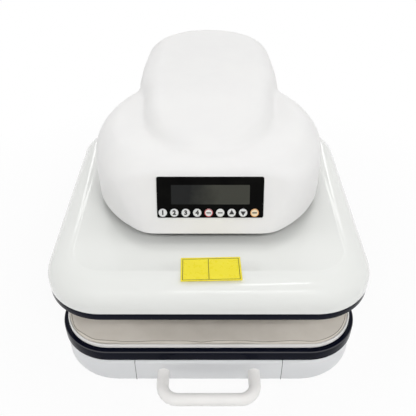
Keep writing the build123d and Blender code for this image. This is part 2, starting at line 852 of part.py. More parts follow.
with BuildPart() as guide_bushes:
    with BuildSketch(Plane.XY.offset(head_plate_bottom)):
        with Locations(*rod_places):
            Circle(bush_radius)
    extrude(amount=bush_height)
    with BuildSketch(Plane.XY.offset(head_plate_top)):
        with Locations(*rod_places):
            Circle(bush_flange_radius)
    extrude(amount=bush_flange)
    with BuildSketch(Plane.XY.offset(head_plate_bottom)):
        with Locations(*rod_places):
            Circle(rod_radius + running_fit)
    extrude(amount=bush_height, mode=Mode.SUBTRACT)
save(guide_bushes, "guide_bushes")

with BuildPart() as gear_motor:
    with BuildSketch(Plane.XY.offset(head_plate_top)):
        with Locations(((motor_box_start + motor_box_end) / 2, pinion_y)):
            Rectangle(motor_box_end - motor_box_start, 2 * motor_box_half)
    extrude(amount=motor_box_height)
    fillet(gear_motor.edges().filter_by(Axis.Y), wall)
    motor_x = (motor_box_start + motor_box_end) / 2
    with BuildSketch(Plane.XZ.offset(-(pinion_y + motor_box_half))):
        with Locations((motor_x, head_plate_top + motor_box_height / 2)):
            Circle(motor_can_radius)
    extrude(amount=-motor_can_length)
    with BuildSketch(Plane.YZ.offset(motor_box_start)):
        with Locations((pinion_y, pinion_level)):
            Circle(shaft_radius + seam)
    extrude(amount=motor_box_end - motor_box_start, mode=Mode.SUBTRACT)
save(gear_motor, "gear_motor")

# ---- housings ----
housing_outside = housing_form(0)
housing_inside = housing_form(wall)
panel_plane = Plane(origin=(0, head_face, head_bottom), x_dir=(1, 0, 0),
                    z_dir=(0, -math.cos(lean), math.sin(lean)))
key_places = [((index - (key_count - 1) / 2) * key_pitch, key_level) for index in range(key_count)]
board_rows = (panel_middle - board_boss_y, panel_middle + board_boss_y)
board_bosses = [(x, y) for x in (-board_boss_x, board_boss_x) for y in board_rows]

with BuildPart() as head_housing:
    add(housing_outside)
    add(housing_inside, mode=Mode.SUBTRACT)
    with BuildSketch(panel_plane):
        with Locations((0, window_middle)):
            Rectangle(window_width + opening_border, window_height + opening_border)
        with Locations(*key_places):
            Circle(key_flange + seam)
    extrude(amount=-3 * wall, mode=Mode.SUBTRACT)
    with BuildSketch(panel_plane.offset(board_thickness - board_depth)):
        with Locations(*board_bosses):
            Circle(board_boss_radius)
    extrude(amount=board_depth - board_thickness - wall / 2)
save(head_housing, "head_housing")

housing_rear = arm_rear_centre + arm_half

with BuildPart() as head_underplate:
    add(housing_form(wall + seam))
    with BuildSketch(Plane.XY.offset(head_bottom)):
        with Locations((0, column_front + wall)):
            Rectangle(4 * head_radius, 4 * head_radius, align=(Align.CENTER, Align.MAX))
    extrude(amount=underplate_thickness, mode=Mode.INTERSECT)
    with BuildSketch(Plane.XY.offset(head_bottom)):
        with Locations(*rod_places):
            Circle(rod_radius + 2 * seam)
        Rectangle(2 * ram_half + 4 * seam, 2 * (ram_half + tooth_addendum) + 4 * seam)
    extrude(amount=underplate_thickness, mode=Mode.SUBTRACT)
save(head_underplate, "head_underplate")

spacer_x = head_plate_half - boss_radius
plate_spacers = [(x, y) for x in (-spacer_x, spacer_x) for y in underplate_spacer_rows]

with BuildPart() as underplate_spacers:
    with BuildSketch(Plane.XY.offset(head_bottom + underplate_thickness)):
        with Locations(*plate_spacers):
            Circle(boss_radius)
    extrude(amount=head_plate_gap)
save(underplate_spacers, "underplate_spacers")

with BuildPart() as underplate_screws:
    with BuildSketch(Plane.XY.offset(head_bottom - screw_head_height)):
        with Locations(*plate_spacers):
            Circle(screw_head_radius)
    extrude(amount=screw_head_height)
save(underplate_screws, "underplate_screws")

with BuildPart() as column_cover:
    with BuildSketch(Plane.XY.offset(deck_level)) as column_plan:
        add(arm_plan(0, 0))
        with Locations((0, column_front)):
            Rectangle(2 * arm_half, 2 * arm_half, align=(Align.CENTER, Align.MIN), mode=Mode.INTERSECT)
        fillet(column_plan.vertices().group_by(Axis.Y)[0], 2 * wall)
    extrude(amount=head_bottom - deck_level)
    with BuildSketch(Plane.XY.offset(deck_level)) as column_hollow:
        add(arm_plan(wall, 0))
        with Locations((0, column_front + wall)):
            Rectangle(2 * arm_half, 2 * arm_half, align=(Align.CENTER, Align.MIN), mode=Mode.INTERSECT)
        fillet(column_hollow.vertices().group_by(Axis.Y)[0], wall)
    extrude(amount=head_bottom - deck_level, mode=Mode.SUBTRACT)
    with BuildSketch(Plane.XZ.offset(-housing_rear)):
        with Locations((0, vent_level)):
            with GridLocations(0, vent_pitch, 1, vent_count):
                SlotOverall(vent_width, vent_height)
    extrude(amount=arm_half / 2, mode=Mode.SUBTRACT)
save(column_cover, "column_cover")

# ---- control panel ----

with BuildPart() as panel_overlay:
    with BuildSketch(panel_plane):
        with Locations((0, panel_middle)):
            RectangleRounded(panel_width, panel_height, panel_radius)
        with Locations(*key_places):
            Circle(key_radius + key_gap, mode=Mode.SUBTRACT)
        with Locations((0, window_middle)):
            Rectangle(window_width, window_height, mode=Mode.SUBTRACT)
    extrude(amount=overlay_thickness)
save(panel_overlay, "panel_overlay")

with BuildPart() as display_window:
    with BuildSketch(panel_plane.offset(window_gap)):
        with Locations((0, window_middle)):
            Rectangle(window_width - 2 * key_gap, window_height - 2 * key_gap)
    extrude(amount=window_thickness)
save(display_window, "display_window")

with BuildPart() as display_module:
    with BuildSketch(panel_plane.offset(board_thickness - board_depth)):
        with Locations((0, window_middle)):
            Rectangle(window_width - 2 * wall, window_height - wall)
    extrude(amount=board_depth - board_thickness)
save(display_module, "display_module")

with BuildPart() as control_board:
    with BuildSketch(panel_plane.offset(-board_depth)):
        with Locations((0, panel_middle)):
            Rectangle(board_width, board_height)
    extrude(amount=board_thickness)
    with BuildSketch(panel_plane.offset(board_thickness - board_depth)):
        with Locations(*key_places):
            Rectangle(2 * switch_half, 2 * switch_half)
    extrude(amount=switch_height)
    with BuildSketch(panel_plane.offset(-board_depth)):
        with Locations((-board_width / 4, panel_middle), (board_width / 4, window_middle)):
            Rectangle(4 * switch_half, 4 * switch_half)
    extrude(amount=-sheet)
save(control_board, "control_board")

panel_axis = Axis(panel_plane.origin, panel_plane.z_dir)
switch_top = board_thickness - board_depth + switch_height
key_names = ["key_1", "key_2", "key_3", "key_4", "key_power", "key_mode", "key_up", "key_down", "key_start"]
for name, place in zip(key_names, key_places):
    with BuildPart() as key:
        with BuildSketch(panel_plane.offset(-window_gap)):
            with Locations(place):
                Circle(key_radius)
        extrude(amount=window_gap + overlay_thickness + key_proud)
        chamfer(key.faces().sort_by(panel_axis)[-1].edges(), key_gap)
        with BuildSketch(panel_plane.offset(-window_gap)):
            with Locations(place):
                Circle(key_flange)
        extrude(amount=-key_flange_thickness)
        with BuildSketch(panel_plane.offset(-window_gap)):
            with Locations(place):
                Circle(key_stem_radius)
        extrude(amount=switch_top + key_travel + 2 * window_gap)
    save(key, name)

# ---- rear sockets and power parts ----
inlet_places = [(-inlet_x, 0)]

with BuildPart() as power_inlet:
    with BuildSketch(rear_plane):
        with Locations(*inlet_places):
            RectangleRounded(inlet_flange_width, inlet_flange_height, wall)
    extrude(amount=flange_thickness)
    with BuildSketch(rear_plane):
        with Locations(*inlet_places):
            Rectangle(inlet_body_width - seam, inlet_body_height - seam)
    extrude(amount=-inlet_body_depth)
    with BuildSketch(rear_plane.offset(flange_thickness)):
        with Locations(*inlet_places):
            Rectangle(inlet_cavity_width, inlet_cavity_height)
    extrude(amount=-inlet_cavity_depth, mode=Mode.SUBTRACT)
    with BuildSketch(rear_plane.offset(flange_thickness - inlet_cavity_depth)):
        with Locations(*inlet_places):
            with Locations((-blade_pitch, -sheet), (0, sheet), (blade_pitch, -sheet)):
                Rectangle(sheet, 2 * sheet)
    extrude(amount=blade_length)
save(power_inlet, "power_inlet")

with BuildPart() as switch_frame:
    with BuildSketch(rear_plane):
        with Locations((-switch_x, 0)):
            RectangleRounded(rocker_flange_width, rocker_flange_height, sheet)
    extrude(amount=flange_thickness)
    with BuildSketch(rear_plane):
        with Locations((-switch_x, 0)):
            Rectangle(rocker_body_width - seam, rocker_body_height - seam)
    extrude(amount=-rocker_body_depth)
    with BuildSketch(Plane.YZ.offset(switch_x - rocker_width / 2 - seam)):
        with Locations((base_rear, socket_level)):
            Circle(rocker_swing_radius + seam)
    extrude(amount=rocker_width + 2 * seam, mode=Mode.SUBTRACT)
save(switch_frame, "switch_frame")

with BuildPart() as power_rocker:
    with BuildSketch(Plane.YZ.offset(switch_x - rocker_width / 2)):
        with Locations(Location((base_rear, socket_level, 0), (0, 0, -rocker_tilt))):
            Circle(rocker_swing_radius)
            for side in (-1, 1):
                with Locations((rocker_swing_radius / 2, 0)):
                    Rectangle(2 * rocker_swing_radius, 4 * rocker_swing_radius, rotation=side * rocker_tilt,
                              align=(Align.MIN, Align.CENTER), mode=Mode.SUBTRACT)
    extrude(amount=rocker_width)
save(power_rocker, "power_rocker")

with BuildPart() as fuse_holder:
    with BuildSketch(rear_plane):
        with Locations((-fuse_x, 0)):
            Circle(fuse_flange_radius)
    extrude(amount=2 * flange_thickness)
    with BuildSketch(rear_plane.offset(2 * flange_thickness)):
        with Locations((-fuse_x, 0)):
            Rectangle(fuse_flange_radius, sheet / 2)
    extrude(amount=-sheet / 2, mode=Mode.SUBTRACT)
    with BuildSketch(rear_plane):
        with Locations((-fuse_x, 0)):
            Circle(fuse_body_radius - seam / 2)
    extrude(amount=-fuse_depth)
save(fuse_holder, "fuse_holder")

plate_level = base_bottom + sheet

with BuildPart() as power_board:
    with BuildSketch(Plane.XY.offset(plate_level)):
        with Locations((power_board_x, power_board_y)):
            with GridLocations(power_board_width - 4 * wall, power_board_depth - 4 * wall, 2, 2):
                Circle(wall)
    extrude(amount=board_leg)
    with BuildSketch(Plane.XY.offset(plate_level + board_leg)):
        with Locations((power_board_x, power_board_y)):
            Rectangle(power_board_width, power_board_depth)
    extrude(amount=board_thickness)
    with BuildSketch(Plane.XY.offset(plate_level + board_leg + board_thickness)):
        with Locations((power_board_x, power_board_y + power_board_depth / 4)):
            Rectangle(transformer_width, transformer_width)
        with Locations((power_board_x - boss_radius, power_board_y - power_board_depth / 4),
                       (power_board_x + boss_radius, power_board_y - power_board_depth / 4)):
            Circle(capacitor_radius)
    extrude(amount=transformer_height)
save(power_board, "power_board")

with BuildPart() as solid_state_relay:
    with BuildSketch(Plane.XY.offset(plate_level)):
        with Locations((-power_board_x, power_board_y)):
            Rectangle(relay_width, relay_depth)
    extrude(amount=relay_height)
    with BuildSketch(Plane.XY.offset(plate_level + relay_height)):
        with Locations((-power_board_x, power_board_y)):
            with GridLocations(relay_width / 2, relay_depth - 4 * wall, 2, 2):
                Circle(wall)
    extrude(amount=sheet)
save(solid_state_relay, "solid_state_relay")
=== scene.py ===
"""A flat heat press with a pull-out lower platen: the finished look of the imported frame.

Every piece is in metres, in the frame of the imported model: the origin is on the bench below the
middle of both platens, +X is the operator's right, +Y runs to the rear column and +Z is up.
"""

import json
import logging
import math
from dataclasses import dataclass
from enum import Enum
from typing import Callable, Optional

import bmesh
import bpy
from mathutils import Matrix, Vector


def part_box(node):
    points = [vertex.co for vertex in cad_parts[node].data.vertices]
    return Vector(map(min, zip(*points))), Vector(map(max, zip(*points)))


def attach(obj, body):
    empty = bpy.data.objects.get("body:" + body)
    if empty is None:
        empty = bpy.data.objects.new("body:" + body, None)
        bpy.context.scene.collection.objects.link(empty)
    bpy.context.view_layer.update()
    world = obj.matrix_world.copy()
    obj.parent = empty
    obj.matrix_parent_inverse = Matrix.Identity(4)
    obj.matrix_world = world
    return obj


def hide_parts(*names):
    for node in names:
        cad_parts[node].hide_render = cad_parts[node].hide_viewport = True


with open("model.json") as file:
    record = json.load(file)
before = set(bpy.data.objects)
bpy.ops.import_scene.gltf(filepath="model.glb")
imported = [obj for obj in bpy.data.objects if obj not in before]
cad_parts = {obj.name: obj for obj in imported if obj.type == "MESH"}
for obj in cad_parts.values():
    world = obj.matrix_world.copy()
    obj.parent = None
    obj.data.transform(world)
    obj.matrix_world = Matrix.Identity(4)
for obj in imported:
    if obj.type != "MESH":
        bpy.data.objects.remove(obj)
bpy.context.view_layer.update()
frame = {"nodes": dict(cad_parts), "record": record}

LOG = logging.getLogger("press")
Triple = tuple[float, float, float]
Span = tuple[float, float]
Colour = Triple
Test = Callable[[Vector, Vector], bool]
Piece = bpy.types.Object
Node = bpy.types.Node
Socket = bpy.types.NodeSocket
UP = (0.0, 0.0, 1.0)
WHITE = (1.0, 1.0, 1.0, 1.0)
NEAR = 1e-5  # metres within which two places are one
DOUBLE = 1e-6  # metres within which two points are merged
FLAT = 0.9  # how upright the normal of a level face is
THREAD = 0.314  # a wave texture's band is this wide at a scale of one
RUBBED = 4.0  # how much finer the rubbed patches are than the coloured ones
COAT_ROUGHNESS = 0.04
PANEL_LEAN = math.radians(20.0)


# ---------------------------------------------------------------------------------------------
# the workbench: selecting, shaping and finishing, done with Blender's own tools
# ---------------------------------------------------------------------------------------------


class Part(Enum):
    """What is selected in edit mode."""

    VERTS = "VERT"
    EDGES = "EDGE"
    FACES = "FACE"


def settle() -> None:
    """Leave edit mode and select nothing."""
    if bpy.context.mode != "OBJECT":
        bpy.ops.object.mode_set(mode="OBJECT")
    bpy.ops.object.select_all(action="DESELECT")


def hold(piece: Piece) -> None:
    """Make one piece the active and the only selected one.

    Args:
        piece: the piece to hold.
    """
    settle()
    piece.select_set(True)
    bpy.context.view_layer.objects.active = piece


def edit(piece: Piece, part: Part) -> None:
    """Open a piece in edit mode with all of it selected.

    Args:
        piece: the mesh to shape.
        part: which kind of element is selected.
    """
    hold(piece)
    bpy.ops.object.mode_set(mode="EDIT")
    bpy.ops.mesh.select_mode(type=part.value)
    bpy.ops.mesh.select_all(action="SELECT")


def pick(piece: Piece, part: Part, test: Test) -> None:
    """Open a piece in edit mode with the elements selected that pass a test.

    Args:
        piece: the mesh to shape.
        part: which kind of element is looked at.
        test: takes the middle and the normal; an edge's normal is its direction.
    """
    edit(piece, part)
    bpy.ops.mesh.select_all(action="DESELECT")
    mesh = bmesh.from_edit_mesh(piece.data)
    if part is Part.VERTS:
        for vert in mesh.verts:
            vert.select_set(test(vert.co, vert.normal))
    elif part is Part.EDGES:
        for edge in mesh.edges:
            first, last = (vert.co for vert in edge.verts)
            edge.select_set(test((first + last) / 2, (last - first).normalized()))
    else:
        for face in mesh.faces:
            face.select_set(test(face.calc_center_median(), face.normal))
    mesh.select_flush_mode()
    bmesh.update_edit_mesh(piece.data)


def apply_modifier(piece: Piece, kind: str, **settings) -> None:
    """Add one modifier and apply it to the mesh.

    Args:
        piece: the piece to shape.
        kind: the modifier's type.
        settings: the modifier's own settings, by name.
    """
    hold(piece)
    modifier = piece.modifiers.new(kind.title(), kind)
    for name, value in settings.items():
        setattr(modifier, name, value)
    bpy.ops.object.modifier_apply(modifier=modifier.name)


def bake_place(piece: Piece) -> None:
    """Move a piece's place, turn and scale into its mesh."""
    hold(piece)
    bpy.ops.object.transform_apply(location=True, rotation=True, scale=True)


def outward(piece: Piece) -> None:
    """Merge the doubles of a piece and turn its faces outwards.

    Args:
        piece: the piece to mend.
    """
    edit(piece, Part.VERTS)
    bpy.ops.mesh.remove_doubles(threshold=DOUBLE)
    bpy.ops.mesh.normals_make_consistent(inside=False)
    settle()


def open_below(piece: Piece, foot: float) -> None:
    """Delete the flat faces at the foot of a piece, and turn the rest outwards.

    Args:
        piece: the piece to open.
        foot: the height of its underside.
    """
    pick(piece, Part.FACES, lambda co, no: co.z < foot + NEAR and abs(no.z) > FLAT)
    bpy.ops.mesh.delete(type="FACE")
    outward(piece)


def smooth(piece: Piece, degrees: float = 40.0) -> None:
    """Shade a piece smooth, apart from edges sharper than an angle."""
    hold(piece)
    bpy.ops.object.shade_smooth_by_angle(angle=math.radians(degrees))


def hollow(piece: Piece, wall: float) -> None:
    """Give an open piece a wall inside its surface, and shade it smooth."""
    apply_modifier(piece, "SOLIDIFY", thickness=wall, offset=-1.0, use_rim=True)
    smooth(piece)


def named(piece: Piece, name: str) -> Piece:
    """Give a piece and its mesh one name, and return the piece."""
    piece.name = piece.data.name = name
    return piece


def join(pieces: list[Piece], name: str) -> Piece:
    """Join several pieces into one.

    Args:
        pieces: the pieces; the first one takes up the others.
        name: the joined piece's name.

    Returns:
        The joined piece.
    """
    settle()
    for piece in pieces:
        piece.select_set(True)
    bpy.context.view_layer.objects.active = pieces[0]
    bpy.ops.object.join()
    return named(pieces[0], name)


@dataclass(frozen=True)
class Plan:
    """A rectangle with rounded corners, seen from above.

    Args:
        width: size along X.
        depth: size along Y.
        middle: the Y of its middle.
        corner: radius of the corners.
    """

    width: float
    depth: float
    middle: float
    corner: float

    def inner(self, inset: float) -> "Plan":
        """The same outline moved inwards, or outwards where the inset is negative."""
        return Plan(self.width - 2 * inset, self.depth - 2 * inset, self.middle,
                    self.corner - inset)

    def holds(self, point: Vector) -> bool:
        """Whether a point lies within the rectangle, round corners left aside."""
        return (abs(point.x) < self.width / 2
                and abs(point.y - self.middle) < self.depth / 2)

    def plate(self, name: str, level: float, segments: int = 24) -> Piece:
        """Lay the rectangle down as one flat face, left open in edit mode with the face selected.

        Args:
            name: the piece's name.
            level: the height of the face.
            segments: faces round each corner.

        Returns:
            The new piece.
        """
        settle()
        bpy.ops.mesh.primitive_plane_add(size=1.0, location=(0.0, self.middle, level))
        piece = named(bpy.context.active_object, name)
        piece.scale = (self.width, self.depth, 1.0)
        bake_place(piece)
        for side in (-1.0, 1.0):
            if self.corner > 0.0:
                pick(piece, Part.VERTS,
                     lambda co, _: (co.y - self.middle) * side > self.depth / 2 - NEAR)
                bpy.ops.mesh.bevel(offset=self.corner, segments=segments, profile=0.5,
                                   affect="VERTICES")
        edit(piece, Part.FACES)
        return piece


@dataclass(frozen=True)
class Step:
    """One stage of a moulded section: so far in, and so far up."""

    inward: float
    rise: float


def draw(way: Triple) -> None:
    """Extrude what is selected in edit mode."""
    bpy.ops.mesh.extrude_region_move(TRANSFORM_OT_translate={"value": way})


def climb(*steps: Step) -> None:
    """Raise the selected flat face through the stages of a section, in edit mode.

    Args:
        steps: the stages, from the foot up.
    """
    for step in steps:
        if step.inward > 0.0:
            bpy.ops.mesh.inset(thickness=step.inward, depth=step.rise, use_even_offset=True)
        else:
            draw((0.0, 0.0, step.rise))


def rounded_edge(inward: float, rise: float, stages: int) -> list[Step]:
    """The stages of a quarter round that goes up and in.

    Args:
        inward: how far it goes in.
        rise: how far it goes up.
        stages: how many flats it is made of.

    Returns:
        The stages, from the outside in.
    """
    turns = [math.radians(90.0 * k / stages) for k in range(stages + 1)]
    return [Step(inward * (math.cos(a) - math.cos(b)), rise * (math.sin(b) - math.sin(a)))
            for a, b in zip(turns, turns[1:])]


def mix(a: float, b: float, share: float) -> float:
    """The value a share of the way from a to b."""
    return a + (b - a) * share


def ease(low: float, high: float, value: float) -> float:
    """A share from 0 to 1 that starts and ends gently between two values."""
    share = min(1.0, max(0.0, (value - low) / (high - low)))
    return share * share * (3.0 - 2.0 * share)


# ---------------------------------------------------------------------------------------------
# finishes
# ---------------------------------------------------------------------------------------------


class Grain(Enum):
    """The fine relief of a surface: how many finer layers it has, and its stretch."""

    PEEL = (2.0, (1.0, 1.0, 1.0))
    BRUSHED = (2.0, (0.04, 1.0, 1.0))
    TURNED = (1.0, (0.15, 0.15, 1.0))
    FIBRE = (6.0, (1.0, 0.35, 1.0))
    WEAVE = ()


class NodeBoard:
    """A node tree that is filled in step by step."""

    def __init__(self, tree: bpy.types.NodeTree, kind: str) -> None:
        """Clear a tree and give it its output.

        Args:
            tree: the node tree of a material or of the surround.
            kind: the type of its output node.
        """
        self.tree = tree
        self.tree.nodes.clear()
        self.output = self.add(kind)

    def add(self, kind: str, **settings) -> Node:
        """Add a node.

        Args:
            kind: the node's type.
            settings: the node's own settings, by name.

        Returns:
            The new node.
        """
        node = self.tree.nodes.new(kind)
        for name, value in settings.items():
            setattr(node, name, value)
        return node

    def link(self, source: Socket, target: Socket) -> None:
        """Join an output to an input."""
        self.tree.links.new(source, target)

    def fill(self, node: Node, **values) -> Node:
        """Set a node's inputs.

        Args:
            node: the node.
            values: the values by input, an underscore standing for a space.

        Returns:
            The same node.
        """
        for name, value in values.items():
            node.inputs[name.replace("_", " ")].default_value = value
        return node

    def reckon(self, operation: str, *values: Socket) -> Socket:
        """Put two values through a sum.

        Args:
            operation: which sum.
            values: the two values.

        Returns:
            The result's socket.
        """
        node = self.add("ShaderNodeMath", operation=operation)
        for value, target in zip(values, node.inputs):
            self.link(value, target)
        return node.outputs["Value"]

    def ranged(self, value: Socket, low: float, high: float,
               start: float = 0.3, end: float = 0.7) -> Socket:
        """Map one range of a value to another, held at both ends.

        Args:
            value: the value's socket.
            low: what it is at the start.
            high: what it is at the end.
            start: the value where the range starts.
            end: the value where the range ends.

        Returns:
            The result's socket.
        """
        node = self.fill(self.add("ShaderNodeMapRange", clamp=True), From_Min=start, From_Max=end,
                         To_Min=low, To_Max=high)
        self.link(value, node.inputs["Value"])
        return node.outputs["Result"]


class MaterialBoard(NodeBoard):
    """A new material's node tree, with one principled shader."""

    def __init__(self, name: str) -> None:
        """Start a material with its output and shader.

        Args:
            name: the material's name.
        """
        self.material = bpy.data.materials.new(name)
        self.material.use_nodes = True
        super().__init__(self.material.node_tree, "ShaderNodeOutputMaterial")
        self.shader = self.add("ShaderNodeBsdfPrincipled")
        self.link(self.shader.outputs["BSDF"], self.output.inputs["Surface"])
        self.place = self.add("ShaderNodeTexCoord").outputs["Object"]

    def noise(self, size: float, detail: float = 3.0, stretch: Triple = (1.0, 1.0, 1.0),
              ) -> Socket:
        """A noise from 0 to 1 whose lumps have one size.

        Args:
            size: size of a lump in metres.
            detail: how many finer layers it has.
            stretch: how much shorter the lumps are along each axis.

        Returns:
            The noise's value socket.
        """
        mapping = self.fill(self.add("ShaderNodeMapping"), Scale=stretch)
        node = self.fill(self.add("ShaderNodeTexNoise"), Scale=1.0 / size, Detail=detail)
        self.link(self.place, mapping.inputs["Vector"])
        self.link(mapping.outputs["Vector"], node.inputs["Vector"])
        return node.outputs["Fac"]

    def bands(self, direction: str, size: float) -> Socket:
        """The rise and fall of threads that lie side by side.

        Args:
            direction: the axis along which one follows the other.
            size: the width of a thread in metres.

        Returns:
            The wave's value socket.
        """
        wave = self.add("ShaderNodeTexWave", wave_type="BANDS", bands_direction=direction)
        self.fill(wave, Scale=THREAD / size, Distortion=0.6, Detail=1.0)
        self.link(self.place, wave.inputs["Vector"])
        return wave.outputs["Fac"]

    def blend(self, share: Socket, first: Colour, second: Colour,
              ) -> Socket:
        """Mix two colours.

        Args:
            share: how much of the second there is.
            first: the colour at 0.
            second: the colour at 1.

        Returns:
            The mixed colour's socket.
        """
        node = self.add("ShaderNodeMix", data_type="RGBA")
        colours = [socket for socket in node.inputs if socket.type == "RGBA"]
        for socket, colour in zip(colours, (first, second)):
            socket.default_value = (*colour, 1.0)
        self.link(share, node.inputs["Factor"])
        return next(out for out in node.outputs if out.type == "RGBA")

    def across(self, lumps: float, drift: float = 0.006) -> Socket:
        """The X of each point, wandering to and fro.

        Args:
            lumps: the size of the wandering's lumps in metres.
            drift: how far it wanders in metres.

        Returns:
            The wandering X's socket.
        """
        parts = self.add("ShaderNodeSeparateXYZ")
        self.link(self.place, parts.inputs["Vector"])
        return self.reckon("ADD", parts.outputs["X"],
                           self.ranged(self.noise(lumps), -drift, drift))

    def relief(self, height: Socket, depth: float) -> None:
        """Give the shader a relief.

        Args:
            height: the relief's height, from 0 to 1.
            depth: its depth in metres.
        """
        node = self.fill(self.add("ShaderNodeBump"), Strength=1.0, Distance=depth)
        self.link(height, node.inputs["Height"])
        self.link(node.outputs["Normal"], self.shader.inputs["Normal"])


@dataclass(frozen=True)
class Finish:
    """A surface finish, made a material the first time it is asked for.

    Args:
        name: the material's name.
        colour: the main colour, linear.
        tint: the colour that it drifts to in patches.
        roughness: lowest and highest roughness.
        metal: how metallic it is.
        coat: strength of a clear coat.
        grain: the kind of fine relief.
        size: the relief's size in metres.
        depth: the relief's depth in metres.
        patch: the size of the patches in metres.
        lustre: the specular level.
        sweep: the X where the colour ends and where the tint starts, in place of patches.
    """

    name: str
    colour: Colour
    tint: Colour
    roughness: Span
    metal: float = 0.0
    coat: float = 0.0
    grain: Grain = Grain.PEEL
    size: float = 0.0012
    depth: float = 0.00001
    patch: float = 0.06
    lustre: float = 0.5
    sweep: Optional[Span] = None

    def height(self, board: MaterialBoard) -> Socket:
        """Draw the relief's height on a material's board.

        Args:
            board: the material's board.

        Returns:
            The height's socket.
        """
        if self.grain is Grain.WEAVE:
            return board.reckon("MAXIMUM", *(board.bands(axis, self.size) for axis in "XY"))
        return board.noise(self.size, *self.grain.value)

    def material(self) -> bpy.types.Material:
        """Make the finish a material, unless it is one already.

        Returns:
            The material.
        """
        found = bpy.data.materials.get(self.name)
        if found:
            return found
        board = MaterialBoard(self.name)
        if self.sweep:
            share = board.ranged(board.across(self.patch), 0.0, 1.0, *self.sweep)
        else:
            share = board.ranged(board.noise(self.patch), 0.0, 1.0)
        board.link(board.blend(share, self.colour, self.tint), board.shader.inputs["Base Color"])
        rubbed = board.ranged(board.noise(self.patch / RUBBED), *self.roughness)
        board.link(rubbed, board.shader.inputs["Roughness"])
        board.fill(board.shader, Metallic=self.metal, Coat_Weight=self.coat,
                   Coat_Roughness=COAT_ROUGHNESS, Specular_IOR_Level=self.lustre)
        board.relief(self.height(board), self.depth)
        return board.material


FILM = {"roughness": (0.26, 0.34), "size": 0.0008, "depth": 0.000008, "patch": 0.01}
INK = {"roughness": (0.3, 0.42), "size": 0.0006, "depth": 0.000006, "patch": 0.006}
SHEET = {"metal": 1.0, "grain": Grain.BRUSHED}
TURNED = {"metal": 1.0, "grain": Grain.TURNED}

INK_BLACK = Finish("black_ink", (0.010, 0.010, 0.010), (0.016, 0.016, 0.016), **INK)
INK_WHITE = Finish("white_ink", (0.80, 0.80, 0.79), (0.76, 0.76, 0.75), **INK)
INK_RED = Finish("red_ink", (0.56, 0.02, 0.03), (0.48, 0.03, 0.04), **INK)
INK_ORANGE = Finish("orange_ink", (0.80, 0.36, 0.08), (0.72, 0.32, 0.07), **INK)
# The base's white is the head's white made greyer and slightly bluer: painted shade and a painted
# cool cast of light on the lower part.
SHADED_BASE_WHITE = Finish("base_white_painted_shade", (0.77, 0.78, 0.79), (0.75, 0.76, 0.775), (0.28, 0.36),
                    size=0.0016)
# A lighter and far shinier copy of the navy, laid only on the band of the tray's rounded top edge:
# a painted highlight.
NAVY_EDGE_HIGHLIGHT = Finish("navy_painted_edge_highlight", (0.004, 0.005, 0.012), (0.006, 0.007, 0.015),
                   (0.08, 0.16), size=0.005, depth=0.000006, lustre=0.8)
# A dark beige for the line just inside the pad's edge: painted shade standing in for the shadow
# line along that edge.
PAD_EDGE_SHADE = Finish("pad_edge_painted_shade", (0.40, 0.36, 0.31), (0.32, 0.285, 0.25), (0.75, 0.9),
                     grain=Grain.FIBRE, size=0.0008, depth=0.00005, patch=0.01, lustre=0.15)


